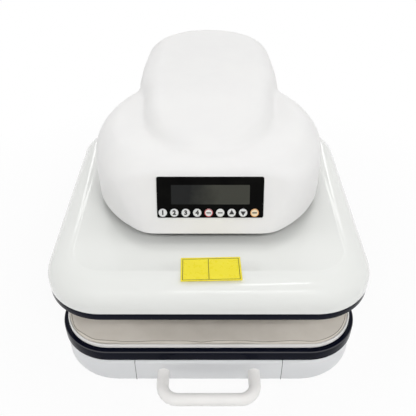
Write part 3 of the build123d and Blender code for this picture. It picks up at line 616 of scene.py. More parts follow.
class Slot(Enum):
    """The record's material slots, each with the finish that its nodes get."""

    WHITE_PLASTIC = "white_plastic", Finish(
        "white_satin_plastic", (0.84, 0.835, 0.825), (0.82, 0.815, 0.81), (0.36, 0.46),
        size=0.0016, depth=0.000012)
    WHITE_GLOSS = "white_gloss", Finish(
        "white_gloss_plastic", (0.80, 0.81, 0.785), (0.785, 0.795, 0.77), (0.10, 0.16),
        coat=0.6, size=0.004, depth=0.000006, patch=0.12)
    WHITE_PAINT = "white_paint", Finish(
        "white_powder_coat", (0.90, 0.885, 0.865), (0.88, 0.87, 0.85), (0.30, 0.42),
        size=0.0020, depth=0.00002)
    NAVY = "navy_gloss", Finish(
        "navy_gloss_plastic", (0.002, 0.003, 0.009), (0.003, 0.004, 0.012), (0.06, 0.12),
        size=0.005, depth=0.000006, lustre=0.06)
    BLACK = "black_plastic", Finish(
        "black_grained_plastic", (0.018, 0.018, 0.019), (0.026, 0.026, 0.027), (0.45, 0.6),
        size=0.0009, depth=0.00004)
    ZINC = "zinc_sheet", Finish(
        "zinc_plated_sheet", (0.50, 0.51, 0.52), (0.60, 0.60, 0.58), (0.28, 0.44),
        size=0.0016, patch=0.02, **SHEET)
    STEEL = "steel", Finish(
        "machined_steel", (0.46, 0.46, 0.47), (0.56, 0.56, 0.56), (0.24, 0.38),
        depth=0.000012, patch=0.03, **SHEET)
    CHROME = "hard_chrome", Finish(
        "hard_chrome", (0.70, 0.71, 0.73), (0.76, 0.77, 0.78), (0.05, 0.12),
        size=0.0010, depth=0.000004, **TURNED)
    BRONZE = "bronze", Finish(
        "turned_bronze", (0.50, 0.33, 0.15), (0.58, 0.42, 0.22), (0.22, 0.36),
        patch=0.01, **TURNED)
    ALUMINIUM = "aluminium", Finish(
        "cast_aluminium", (0.58, 0.58, 0.59), (0.66, 0.66, 0.66), (0.34, 0.5),
        metal=1.0, size=0.0016, depth=0.00003, patch=0.02)
    RUBBER = "rubber", Finish(
        "matt_rubber", (0.02, 0.02, 0.02), (0.03, 0.03, 0.03), (0.7, 0.85),
        size=0.0014, depth=0.00005, patch=0.01)
    SILICONE = "silicone", Finish(
        "pad_cloth", (0.77, 0.72, 0.65), (0.72, 0.67, 0.60), (0.75, 0.9),
        grain=Grain.WEAVE, depth=0.00012, patch=0.025, lustre=0.15)
    INSULATION = "insulation", Finish(
        "fibre_board", (0.72, 0.69, 0.60), (0.62, 0.58, 0.50), (0.8, 0.95),
        grain=Grain.FIBRE, size=0.003, depth=0.0002, patch=0.03)
    OVERLAY = "overlay_black", Finish(
        "panel_film_black", (0.0015, 0.0015, 0.0015), (0.004, 0.004, 0.0035), (0.16, 0.24),
        size=0.0010, depth=0.000008, patch=0.03, lustre=0.03)
    WINDOW = "window_glass", Finish(
        "display_lens", (0.010, 0.011, 0.011), (0.048, 0.049, 0.040), (0.08, 0.14),
        size=0.006, depth=0.000004, patch=0.02, lustre=0.15, sweep=(-0.022, 0.010))
    CIRCUIT = "circuit", Finish(
        "solder_mask", (0.015, 0.12, 0.05), (0.03, 0.17, 0.07), (0.3, 0.42),
        depth=0.00002, patch=0.008)
    KEY_GREY = "key_grey", Finish(
        "key_film_grey", (0.72, 0.73, 0.73), (0.76, 0.77, 0.77), **FILM)
    KEY_WHITE = "key_white", Finish(
        "key_film_white", (0.78, 0.78, 0.78), (0.74, 0.74, 0.74), **FILM)
    KEY_ORANGE = "key_orange", Finish(
        "key_film_cream", (0.86, 0.73, 0.52), (0.82, 0.69, 0.48), **FILM)
    LABEL = "label_yellow", Finish(
        "yellow_label_film", (0.90, 0.78, 0.045), (0.87, 0.74, 0.04), (0.24, 0.34),
        grain=Grain.FIBRE, size=0.0015, depth=0.000008, patch=0.02)

    @property
    def label(self) -> str:
        """The slot's name in the record."""
        return self.value[0]

    @property
    def finish(self) -> Finish:
        """The finish that the slot's nodes get."""
        return self.value[1]


def dress(piece: Piece, *finishes: Finish) -> None:
    """Replace a piece's materials.

    Args:
        piece: the piece to dress.
        finishes: its new finishes, in order.
    """
    piece.data.materials.clear()
    for finish in finishes:
        piece.data.materials.append(finish.material())


def fit(piece: Piece, slot: Slot, body: str, *nodes: str) -> None:
    """Dress a finished piece in its slot's finish if it is bare, and let it ride on a body.

    Args:
        piece: the finished piece, in place.
        slot: the record's slot that it belongs to.
        body: the body that carries it.
        nodes: the CAD nodes that it stands for.
    """
    if not piece.data.materials:
        dress(piece, slot.finish)
    settle()
    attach(piece, body)
    if nodes:
        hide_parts(*nodes)
    LOG.info("%s: %d faces, on %s", piece.name, len(piece.data.polygons), body)


# ---------------------------------------------------------------------------------------------
# the control head and its arm
# ---------------------------------------------------------------------------------------------


@dataclass
class Form:
    """A closed moulded form, given by rings that run from its underside up to its top.

    Args:
        bearings: points on each ring.
        walls: rings on the upright side.
        arcs: rings on the rounded edge.
        caps: rings from the edge to the middle of the top.
    """

    bearings: int = 180
    walls: int = 12
    arcs: int = 16
    caps: int = 10

    @property
    def rings(self) -> int:
        """How many rings the form has, both poles counted."""
        return 1 + self.walls + self.arcs + self.caps

    def stage(self, ring: int) -> Triple:
        """Say where on the section a ring lies.

        Args:
            ring: counted from the middle of the underside.

        Returns:
            How far it is up the side, round the edge and out from the middle, from 0 to 1.
        """
        side = min(1.0, max(0, ring - 1) / (self.walls - 1))
        edge = min(1.0, max(0, ring - self.walls) / self.arcs)
        out = 1.0 - max(0, ring - self.walls - self.arcs) / self.caps
        return side, edge, out if ring else 0.0

    def place(self, bearing: float, ring: int) -> Vector:
        """The point on one bearing, 0 at the front, and one ring."""
        raise NotImplementedError

    def sculpt(self, name: str) -> Piece:
        """Press a globe into the form, ring by ring.

        Args:
            name: the piece's name.

        Returns:
            A closed piece.
        """
        settle()
        bpy.ops.mesh.primitive_uv_sphere_add(segments=self.bearings, ring_count=self.rings - 1)
        piece = named(bpy.context.active_object, name)
        turn = math.pi / (self.rings - 1)
        for vert in piece.data.vertices:
            ring = round((math.pi - math.acos(max(-1.0, min(1.0, vert.co.z)))) / turn)
            vert.co = self.place(math.atan2(vert.co.x, -vert.co.y), ring)
        piece.data.update()
        outward(piece)
        return piece


@dataclass
class HeadForm(Form):
    """The round head: a disc with a leaning flat front, seen from above."""

    radius: float = 0.166
    middle: float = 0.015
    face: float = -0.128
    floor: float = 0.210
    lean: float = PANEL_LEAN
    top: float = 0.300
    top_middle: float = -0.100
    tilt: float = math.tan(math.radians(2.5))
    corner: float = 0.040
    top_corner: float = 0.060
    least_corner: float = 0.010
    corner_loss: float = 0.6
    front_round: float = 0.020
    side_round: float = 0.042
    round_turn: Span = (math.radians(26.0), math.radians(58.0))
    skirt: float = 0.012

    def reach(self, bearing: float, inset: float, level: float) -> float:
        """How far the outline lies from the head's axis on one bearing.

        Args:
            bearing: the angle from the front.
            inset: how far inside the outermost outline the outline runs.
            level: the height, which moves the leaning front.

        Returns:
            The distance from the axis.
        """
        radius = self.radius - inset
        flat = self.middle - self.face - (level - self.floor) * math.tan(self.lean) - inset
        rise = min(1.0, max(0.0, (level - self.floor) / (self.top - self.floor)))
        corner = max(mix(self.corner, self.top_corner, rise) - inset * self.corner_loss,
                     self.least_corner)
        centre = radius - corner
        turn = math.acos(min(1.0, (flat - corner) / centre))
        if bearing > turn:
            return radius
        if flat * math.tan(bearing) < centre * math.sin(turn):
            return flat / math.cos(bearing)
        across = centre * math.sin(turn - bearing)
        return centre * math.cos(turn - bearing) + math.sqrt(corner ** 2 - across ** 2)

    def place(self, bearing: float, ring: int) -> Vector:
        """Find one point of the head.

        Args:
            bearing: the angle from the front.
            ring: counted from the middle of the underside.

        Returns:
            The point.
        """
        up, bent, share = self.stage(ring)
        side = ease(*self.round_turn, abs(bearing))
        curve = mix(self.front_round, self.side_round, side)
        lean = mix(self.lean, 0.0, side)
        foot = self.top - curve + curve * math.sin(lean)
        inset, level = 0.0, mix(self.floor - self.skirt, foot, up)
        if bent > 0.0:
            turn = mix(lean, math.pi / 2, bent)
            level = self.top - curve + curve * math.sin(turn)
            start = curve * math.cos(lean) + (foot - self.floor) * math.tan(lean)
            inset = start - curve * math.cos(turn) - (level - self.floor) * math.tan(lean)
        reach = self.reach(abs(bearing), inset, level) * share
        x, y = reach * math.sin(bearing), self.middle - reach * math.cos(bearing)
        rise = max(0.0, level - self.floor) / (self.top - self.floor)
        return Vector((x, y, level + (y - self.top_middle) * self.tilt * rise))


@dataclass
class ArmForm(Form):
    """The arm: a long rounded hump that runs back from the head, with a sloping toe."""

    walls: int = 6
    arcs: int = 14
    half: float = 0.107
    toe_half: float = 0.096
    front: float = 0.027
    rear: float = 0.245
    floor: float = 0.210
    top: float = 0.330
    toe: float = -0.083
    toe_level: float = 0.3060
    slope: float = math.tan(math.radians(17.6))
    crease: float = 0.012
    drop: float = 0.006
    rim: float = 0.030
    rear_rim: float = 0.038
    rim_change: Span = (0.10, 0.34)
    widening: Span = (-0.01, 0.24)
    flare: float = 0.0088
    flare_start: Span = (0.06, 0.13)
    flare_end: Span = (0.12, 0.28)
    skirt: float = 0.012
    bend: float = math.radians(70.0)

    def crown(self, y: float) -> float:
        """Find the height of the arm's top, its slope and flat joined gently.

        Args:
            y: the place along the arm.

        Returns:
            The height.
        """
        ramp = self.toe_level + (y - self.toe) * self.slope
        gap = (ramp - self.top) / self.crease
        level = self.top - self.crease * math.log1p(math.exp(-gap)) if gap > -30 else ramp
        return level - self.drop * ease(self.rear, self.rear + self.half, y)

    def place(self, bearing: float, ring: int) -> Vector:
        """Find one point of the arm.

        Args:
            bearing: round either end it is the angle, along the side the share of the way.
            ring: counted from the middle of the underside.

        Returns:
            The point.
        """
        up, bent, share = self.stage(ring)
        ahead = math.cos(bearing) > 0.0
        length = self.front - self.toe if ahead else self.half
        way = abs(bearing)
        along = min(1.0, max(0.0, (way - self.bend) / (math.pi - 2 * self.bend)))
        centre = mix(self.front, self.rear, along)
        near = min(way, math.pi - way, self.bend) / self.bend * math.pi / 2
        fore = math.cos(near) if ahead else -math.cos(near)
        rim = mix(self.rim, self.rear_rim, ease(*self.rim_change, centre - length * fore))
        turn = math.pi / 2 * bent
        inset = rim * (1.0 - math.cos(turn))
        y = mix((self.front + self.rear) / 2, centre, share)
        y -= (length - inset) * share * fore
        half = mix(self.toe_half, self.half, ease(*self.widening, y))
        spread = self.flare * ease(*self.flare_start, y) * (1.0 - ease(*self.flare_end, y))
        half += spread * (1.0 - inset / rim)
        x = math.copysign((half - inset) * share * math.sin(near), bearing)
        level = mix(self.floor - self.skirt, self.crown(y) - rim, up)
        if bent > 0.0:
            level = self.crown(y) - rim + rim * math.sin(turn)
        return Vector((x, y, level))


@dataclass
class ControlHead:
    """The white moulding of the head and the arm, one shell open below."""

    wall: float = 0.003
    voxel: float = 0.0032
    soften: int = 14
    crease_reach: Span = (0.004, 0.030)
    side_reach: Span = (0.004, 0.022)
    side_end: float = 0.15
    side_share: float = 0.5

    def junction(self, piece: Piece, head: HeadForm, arm: ArmForm) -> None:
        """Weigh the points near the line where the arm meets the head.

        Args:
            piece: the joined shell.
            head: the head's form.
            arm: the arm's form.
        """
        group = piece.vertex_groups.new(name="junction")
        for vert in piece.data.vertices:
            x, y, z = vert.co
            centre = min(max(y, arm.front), arm.rear)
            away = math.hypot(x, y - centre) - arm.half
            over = z - (head.top + (y - head.top_middle) * head.tilt)
            near = 1.0 - ease(*self.crease_reach, math.hypot(away, over))
            side = 1.0 - ease(*self.side_reach, abs(away))
            behind = ease(head.middle, self.side_end, y) * side
            group.add([vert.index], max(near, behind * self.side_share), "REPLACE")

    def build(self) -> None:
        """Model the shell, open it below and hang it on the frame."""
        head, arm = HeadForm(), ArmForm()
        shell = join([head.sculpt("head"), arm.sculpt("arm")], "control_head")
        apply_modifier(shell, "REMESH", mode="VOXEL", voxel_size=self.voxel, adaptivity=0.0)
        apply_modifier(shell, "SMOOTH", factor=0.5, iterations=3)
        self.junction(shell, head, arm)
        apply_modifier(shell, "SMOOTH", factor=0.6, iterations=self.soften,
                       vertex_group="junction")
        edit(shell, Part.VERTS)
        bpy.ops.mesh.bisect(plane_co=(0.0, 0.0, head.floor), plane_no=UP, clear_inner=True)
        outward(shell)
        hollow(shell, self.wall)
        fit(shell, Slot.WHITE_PLASTIC, "frame", "head_housing")


# ---------------------------------------------------------------------------------------------
# the upper platen
# ---------------------------------------------------------------------------------------------


@dataclass
class UpperPlaten:
    """What shows of the upper platen: its glossy cover, the dark trim and the blank label."""

    plan: Plan = Plan(0.440, 0.438, 0.0, 0.082)
    wall: float = 0.003
    foot: float = 0.153
    shoulder: float = 0.1915
    edge_in: float = 0.036
    edge_up: float = 0.031
    bead_in: float = 0.004
    bead_up: float = 0.0006
    bead_fall: float = 0.6
    crown_in: float = 0.030
    crown_up: float = 0.00126
    trim_foot: float = 0.141
    trim_inset: float = 0.0004
    trim_round: float = 0.0012
    trim_width: float = 0.0075
    label: Plan = Plan(0.078, 0.043, 0.0, 0.0)
    label_place: Vector = Vector((0.003, -0.178, 0.0))
    label_turn: float = math.radians(1.6)
    label_margin: float = 0.0022
    label_line: float = 0.0008
    label_split: float = 0.045

    def cover(self) -> None:
        """The glossy cover: an open shell with a wide soft edge and a slight bead inside it."""
        cover = self.plan.plate("upper_cover", self.foot, segments=32)
        climb(Step(0.0, self.shoulder - self.foot - self.edge_up),
              *rounded_edge(self.edge_in, self.edge_up, stages=18),
              Step(self.bead_in / 2, self.bead_up),
              Step(self.bead_in / 2, -self.bead_up * self.bead_fall),
              Step(self.crown_in, self.crown_up))
        open_below(cover, self.foot)
        hollow(cover, self.wall)
        fit(cover, Slot.WHITE_GLOSS, "upper_platen", "platen_cover")

    def trim(self) -> None:
        """The dark band between the cover and the heat plate."""
        outline = self.plan.inner(self.trim_inset)
        trim = outline.plate("upper_trim", self.trim_foot, segments=32)
        climb(Step(0.0, self.foot - self.trim_foot))
        pick(trim, Part.FACES, lambda co, no: abs(no.z) > FLAT)
        bpy.ops.mesh.inset(thickness=self.trim_width, depth=0.0, use_even_offset=True)
        bpy.ops.mesh.bridge_edge_loops()
        outward(trim)
        apply_modifier(trim, "BEVEL", width=self.trim_round, segments=4, limit_method="ANGLE",
                       angle_limit=math.radians(60.0))
        smooth(trim, degrees=50.0)
        fit(trim, Slot.NAVY, "upper_platen", "cover_trim")

    def blank_label(self) -> None:
        """The blank yellow label: a thin film with a printed frame and one dividing line."""
        low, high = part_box("blank_label")
        printed = self.label.inner(self.label_margin)
        blank = printed.inner(self.label_line)
        left = -self.label.width * self.label_split
        right = left + self.label_line
        film = self.label.plate("label_film", low.z)
        climb(Step(0.0, (high.z - low.z) / 2))
        bpy.ops.mesh.inset(thickness=self.label_margin, depth=0.0)
        bpy.ops.mesh.inset(thickness=self.label_line, depth=0.0)
        for offset in (left, right):
            bpy.ops.mesh.bisect(plane_co=(offset, 0.0, 0.0), plane_no=(1.0, 0.0, 0.0))
            pick(film, Part.FACES, lambda co, no: no.z > FLAT and blank.holds(co))
        settle()
        dress(film, Slot.LABEL.finish, INK_BLACK)
        for face in film.data.polygons:
            line = left < face.center.x < right or not blank.holds(face.center)
            face.material_index = int(face.normal.z > FLAT and printed.holds(face.center) and line)
        film.location = self.label_place
        film.rotation_euler.z = self.label_turn
        bake_place(film)
        fit(film, Slot.LABEL, "upper_platen", "blank_label")

    def build(self) -> None:
        """Model every piece of the upper platen that shows."""
        self.cover()
        self.trim()
        self.blank_label()


# ---------------------------------------------------------------------------------------------
# the drawer with the lower platen
# ---------------------------------------------------------------------------------------------


@dataclass(frozen=True)
class Wave:
    """A wave over the pad: its height, how fast it turns along X and along Y, and its start."""

    height: float
    along: float
    across: float
    start: float = 0.0

    def at(self, x: float, y: float, lift: float = 0.0) -> float:
        """Its height at one place, lifted by a share of its own height."""
        return self.height * (lift + math.sin(self.along * x + self.across * y + self.start))


@dataclass
class LowerDrawer:
    """What shows of the drawer: tray, platen rim, pad and handle."""

    tray: Plan = Plan(0.428, 0.412, -0.005, 0.075)
    tray_foot: float = 0.048
    tray_top: float = 0.065
    tray_round: float = 0.0022
    tray_wall: float = 0.004
    # how steep and how high the faces of the tray's painted highlight band are
    highlight_lean: Span = (0.35, 0.90)
    highlight_slack: float = 0.0001
    rim_inset: float = 0.007
    rim_height: float = 0.003
    rim_round: float = 0.0007
    bead_height: float = 0.0012
    bead_width: float = 0.0016
    bead_lean: float = 0.0003
    lip_height: float = 0.0068
    lip_width: float = 0.0019
    # where the pad's painted shade line lies, how wide it is and how it wanders
    shade_line_inset: float = 0.0030
    shade_line_width: float = 0.0008
    shade_line_turns: Span = (1.7, 1.3)
    shade_line_wander: float = 2.2
    shade_line_depth: float = 0.00005
    shade_line_thickness: float = 0.0006
    pad_inset: float = 0.009
    pad_gap: float = 0.0004
    pad_foot: float = 0.0683
    pad_height: float = 0.0057
    pad_voxel: float = 0.0022
    pad_round: float = 0.0021
    pad_edge: float = 0.05
    pad_pull: float = 0.0006
    pad_middle: float = 0.4
    wander: tuple[Wave, ...] = (Wave(0.00045, 41.0, 17.0, 0.6), Wave(0.0003, 97.0, -61.0))
    sink: tuple[Wave, ...] = (Wave(0.00022, 23.0, 9.0), Wave(0.00012, 71.0, -37.0, 1.1))
    tube: float = 0.0085
    bend: float = 0.022
    handle_half: float = 0.064
    handle_level: float = 0.0245
    handle_root: float = -0.214
    handle_reach: float = 0.044
    joint: float = 0.0008
    # the dark strips in the joints beside the drawer front are painted shade
    shade_strip_back: float = 0.0003
    shade_strip_width: float = 0.7
    shade_strip_round: float = 0.15

    def build_tray(self) -> None:
        """The dark glossy tray: a rounded band with a flat ledge, open below, with a painted
        highlight along its rounded top edge.
        """
        tray = self.tray.plate("lower_tray_band", self.tray_foot, segments=32)
        climb(Step(0.0, self.tray_top - self.tray_foot - self.tray_round),
              *rounded_edge(self.tray_round, self.tray_round, stages=6),
              Step(self.rim_inset - self.tray_round - self.bead_width, 0.0),
              Step(self.bead_lean, self.bead_height))
        open_below(tray, self.tray_foot)
        hollow(tray, self.tray_wall)
        # the faces of the rounded top edge that face up and out get the lighter, shinier navy: a
        # painted highlight
        dress(tray, Slot.NAVY.finish, NAVY_EDGE_HIGHLIGHT)
        steep, flat = self.highlight_lean
        for face in tray.data.polygons:
            level = face.center.z - self.tray_top
            edge = -self.tray_round < level < self.highlight_slack
            face.material_index = int(edge and steep < face.normal.z < flat)
        fit(tray, Slot.NAVY, "drawer", "lower_tray")

    def build_rim(self) -> None:
        """The lower platen: a white plate whose rim shows round the pad."""
        outline = self.tray.inner(self.rim_inset)
        rim = outline.plate("lower_platen_plate", self.tray_top, segments=32)
        climb(Step(0.0, self.lip_height - self.rim_round),
              *rounded_edge(self.rim_round, self.rim_round, stages=4),
              Step(self.lip_width - self.rim_round, 0.0),
              Step(0.0, self.rim_height - self.lip_height))
        outward(rim)
        smooth(rim)
        fit(rim, Slot.WHITE_PAINT, "drawer", "lower_platen")

    def ripple(self, x: float, y: float) -> Span:
        """How far the pad's edge wanders outwards, and how far its top sinks, at one place."""
        return (sum(wave.at(x, y) for wave in self.wander),
                sum(wave.at(x, y, 1.0) for wave in self.sink))

    def away(self, point: Vector) -> Vector:
        """The level direction from the tray's middle to a point."""
        return Vector((point.x, point.y - self.tray.middle, 0.0)).normalized()

    def build_pad(self) -> None:
        """The soft pad: a thin slab with puffed edges that wander a little."""
        pad = self.tray.inner(self.pad_inset + self.pad_gap).plate("lower_pad", self.pad_foot)
        climb(Step(0.0, self.pad_height - self.pad_round),
              *rounded_edge(self.pad_round, self.pad_round, stages=6))
        outward(pad)
        apply_modifier(pad, "REMESH", mode="VOXEL", voxel_size=self.pad_voxel, adaptivity=0.0)
        apply_modifier(pad, "SMOOTH", factor=0.5, iterations=2)
        top, foot = self.pad_foot + self.pad_height, self.pad_foot
        half = self.tray.width / 2 - self.pad_inset
        for vert in pad.data.vertices:
            x, y, z = vert.co
            wander, sink = self.ripple(x, y)
            share = min(1.0, max(0.0, (z - foot) / self.pad_height))
            edge = ease(half - self.pad_edge, half, max(abs(x), abs(y - self.tray.middle)))
            vert.co += self.away(vert.co) * (wander - self.pad_pull) * edge
            sink *= share * mix(self.pad_middle, 1.0, edge)
            vert.co.z = min(top, max(foot, z - sink))
        pad.data.update()
        outward(pad)
        smooth(pad, degrees=60.0)
        fit(pad, Slot.SILICONE, "drawer", "silicone_pad")

    def build_edge_shade_line(self) -> None:
        """A dark line that wanders round the pad just inside its edge: painted shade, standing in
        for the shadow line along the pad's edge.
        """
        outline = self.tray.inner(self.pad_inset + self.shade_line_inset)
        shade_line = outline.plate("pad_edge_shade_line", self.pad_foot + self.pad_height)
        bpy.ops.mesh.inset(thickness=self.shade_line_width, depth=0.0, use_even_offset=True)
        bpy.ops.mesh.delete(type="FACE")
        bpy.ops.mesh.select_all(action="SELECT")
        bpy.ops.mesh.subdivide(number_cuts=12)
        settle()
        along, across = self.shade_line_turns
        for vert in shade_line.data.vertices:
            wander, sink = self.ripple(vert.co.x * along, vert.co.y * across)
            vert.co += self.away(vert.co) * (wander * self.shade_line_wander)
            vert.co.z -= self.shade_line_depth + sink * self.pad_middle
        shade_line.data.update()
        outward(shade_line)
        apply_modifier(shade_line, "SOLIDIFY", thickness=self.shade_line_thickness, offset=-1.0)
        dress(shade_line, PAD_EDGE_SHADE)
        fit(shade_line, Slot.SILICONE, "drawer")

    def build_handle(self) -> None:
        """The U handle: one tube drawn out, spun round both bends and let into the front."""
        settle()
        corner = self.handle_root - self.handle_reach + self.bend
        inner = self.handle_half - self.bend
        bpy.ops.mesh.primitive_circle_add(
            vertices=40, radius=self.tube, rotation=(math.pi / 2, 0.0, 0.0),
            location=(-self.handle_half, self.handle_root, self.handle_level))
        handle = named(bpy.context.active_object, "drawer_pull")
        bake_place(handle)
        edit(handle, Part.VERTS)
        draw((0.0, corner - self.handle_root, 0.0))
        for middle, way in ((-inner, (2 * inner, 0.0, 0.0)),
                            (inner, (0.0, self.handle_root - corner, 0.0))):
            bpy.ops.mesh.spin(steps=18, angle=-math.pi / 2, axis=UP,
                              center=(middle, corner, self.handle_level))
            draw(way)
        outward(handle)
        pick(handle, Part.EDGES, lambda co, _: co.y > self.handle_root - NEAR)
        bpy.ops.mesh.edge_face_add()
        outward(handle)
        smooth(handle, degrees=50.0)
        fit(handle, Slot.WHITE_PAINT, "drawer", "drawer_handle")

    def build_joint_shade_strips(self) -> None:
        """Two dark strips set into the joints beside the drawer front: painted shade that darkens
        the gaps.
        """
        low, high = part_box("drawer_front")
        outline = Plan(self.joint * self.shade_strip_width, high.y - low.y - 2 * self.shade_strip_back,
                       (low.y + high.y) / 2, 0.0)
        for side, name in ((-1.0, "left_joint_shade_strip"), (1.0, "right_joint_shade_strip")):
            shade_strip = outline.plate(name, low.z + self.shade_strip_back)
            climb(Step(0.0, high.z - low.z - 2 * self.shade_strip_back))
            outward(shade_strip)
            shade_strip.location.x = side * (high.x + self.joint / 2)
            bake_place(shade_strip)
            apply_modifier(shade_strip, "BEVEL", width=self.joint * self.shade_strip_round, segments=2)
            fit(shade_strip, Slot.RUBBER, "frame")

    def build(self) -> None:
        """Model every piece of the drawer that shows."""
        self.build_tray()
        self.build_rim()
        self.build_pad()
        self.build_edge_shade_line()
        self.build_handle()
        self.build_joint_shade_strips()


# ---------------------------------------------------------------------------------------------
# the control panel
# ---------------------------------------------------------------------------------------------


class Glyph(Enum):
    """What is printed on a key."""

    ONE = "1"
    TWO = "2"
    THREE = "3"
    FOUR = "4"
    UP = "up triangle"
    DOWN = "down triangle"
    RED_RING = "red ring"
    ORANGE_RING = "orange ring"
    BAR = "bar"


PRINTS = {"key_1": Glyph.ONE, "key_2": Glyph.TWO, "key_3": Glyph.THREE, "key_4": Glyph.FOUR,
          "key_power": Glyph.RED_RING, "key_mode": Glyph.BAR, "key_up": Glyph.UP,
          "key_down": Glyph.DOWN, "key_start": Glyph.ORANGE_RING}
RINGS = {Glyph.RED_RING: INK_RED, Glyph.ORANGE_RING: INK_ORANGE}


@dataclass
class ControlPanel:
    """The film overlay on the head's leaning front, with the prints on it and on its keys."""

    origin: Vector = Vector((0.0, -0.128, 0.210))
    lean: float = PANEL_LEAN
    film: Plan = Plan(0.1404, 0.0560, 0.0, 0.0026)
    film_place: Span = (0.0020, 0.0510)
    lens: Plan = Plan(0.103, 0.0265, 0.0, 0.001)
    lens_place: Span = (0.0022, 0.0548)
    lens_rise: float = 0.00015
    border: float = 0.0014
    border_sink: float = 0.0003
    print_depth: float = 0.00012
    key_radius: float = 0.0055
    key_hole: float = 0.00565
    ring_width: float = 0.0008
    digit: float = 0.0080
    digit_weight: float = 0.0005
    digit_steps: int = 5
    arrow: float = 0.0041
    arrow_round: float = 0.08
    bar: Plan = Plan(0.0062, 0.0015, 0.0, 0.0003)

    @property
    def normal(self) -> Vector:
        """The way straight out of the leaning front."""
        return Vector((0.0, -math.cos(self.lean), math.sin(self.lean)))

    @property
    def rise(self) -> Vector:
        """The way up along the leaning front."""
        return Vector((0.0, math.sin(self.lean), math.cos(self.lean)))

    def lay(self, piece: Piece, across: float, up: float, out: float) -> None:
        """Turn a flat piece into the panel's plane and set it at a place on it.

        Args:
            piece: modelled flat, facing +Z.
            across: its middle along X.
            up: its middle along the leaning front.
            out: how far outside the front it lies.
        """
        place = self.origin + Vector((across, 0.0, 0.0)) + self.rise * up + self.normal * out
        piece.matrix_world = Matrix.Translation(place) @ Matrix.Rotation(
            math.pi / 2 - self.lean, 4, "X")
        bake_place(piece)

    def points(self, node: str) -> list[Vector]:
        """The points of a CAD node, seen from the panel's origin."""
        return [vert.co - self.origin for vert in frame["nodes"][node].data.vertices]

    def depth_of(self, node: str) -> float:
        """How far a CAD node reaches outside the leaning front."""
        return max(self.normal.dot(point) for point in self.points(node))

    def spot(self, node: str) -> Span:
        """Find the middle of a CAD node on the panel.

        Args:
            node: the CAD node.

        Returns:
            Its place across and up.
        """
        points = self.points(node)
        across, up = [point.x for point in points], [self.rise.dot(point) for point in points]
        return (min(across) + max(across)) / 2, (min(up) + max(up)) / 2

    def sheet(self, name: str, plan: Plan, place: Span, out: float, thickness: float,
              segments: int = 8) -> Piece:
        """Make a flat sheet and lay it on the front.

        Args:
            name: the piece's name.
            plan: its outline.
            place: its middle, across and up.
            out: how far outside the front its back lies.
            thickness: how thick it is.
            segments: faces round each corner.

        Returns:
            The sheet.
        """
        piece = plan.plate(name, 0.0, segments)
        climb(Step(0.0, thickness))
        outward(piece)
        self.lay(piece, *place, out)
        return piece

    def build_sheets(self) -> None:
        """The thin white rim, the black film open for the keys, and the dark display lens."""
        top = self.depth_of("panel_overlay")
        back = top - self.border_sink
        border = self.sheet("panel_border", self.film.inner(-self.border), self.film_place, 0.0,
                            back)
        self.cut_keys(border)
        dress(border, INK_WHITE)
        fit(border, Slot.OVERLAY, "frame")
        film = self.sheet("panel_film", self.film, self.film_place, back,
                          self.border_sink + self.print_depth)
        self.cut_keys(film)
        fit(film, Slot.OVERLAY, "frame", "panel_overlay")
        lens = self.sheet("display_lens", self.lens, self.lens_place, top + self.print_depth,
                          self.lens_rise, segments=4)
        fit(lens, Slot.WINDOW, "frame", "display_window")

    def cut_keys(self, piece: Piece) -> None:
        """Cut the nine key openings through a piece.

        Args:
            piece: a piece that lies on the front.
        """
        settle()
        cutters = []
        for key in PRINTS:
            bpy.ops.mesh.primitive_cylinder_add(vertices=48, radius=self.key_hole, depth=0.02)
            cutters.append(bpy.context.active_object)
            self.lay(cutters[-1], *self.spot(key), 0.0)
        cutter = join(cutters, "key_cutter")
        apply_modifier(piece, "BOOLEAN", object=cutter, operation="DIFFERENCE", solver="EXACT")
        bpy.data.objects.remove(cutter, do_unlink=True)

    def ring(self, name: str) -> Piece:
        """Make a flat ring as wide as a key.

        Args:
            name: the piece's name.

        Returns:
            The ring.
        """
        bpy.ops.mesh.primitive_circle_add(vertices=48, radius=self.key_radius, fill_type="NGON")
        piece = named(bpy.context.active_object, name)
        edit(piece, Part.FACES)
        bpy.ops.mesh.inset(thickness=self.ring_width, depth=0.0)
        bpy.ops.mesh.delete(type="FACE")
        return piece

    def triangle(self, name: str, up: bool) -> Piece:
        """Make a flat triangle.

        Args:
            name: the piece's name.
            up: whether it points up.

        Returns:
            The triangle.
        """
        bpy.ops.mesh.primitive_circle_add(vertices=3, radius=self.arrow, fill_type="NGON",
                                          rotation=(0.0, 0.0, 0.0 if up else math.pi))
        piece = named(bpy.context.active_object, name)
        bake_place(piece)
        edit(piece, Part.VERTS)
        bpy.ops.mesh.bevel(offset=self.arrow * self.arrow_round, segments=2, affect="VERTICES")
        return piece

    def number(self, name: str, body: str) -> Piece:
        """Make a printed number as a flat mesh.

        Args:
            name: the piece's name.
            body: the number.

        Returns:
            The mesh.
        """
        bpy.ops.object.text_add()
        text = bpy.context.active_object.data
        text.body, text.size, text.offset = body, self.digit, self.digit_weight
        text.align_x = text.align_y = "CENTER"
        text.resolution_u = self.digit_steps
        bpy.ops.object.convert(target="MESH")
        return named(bpy.context.active_object, name)

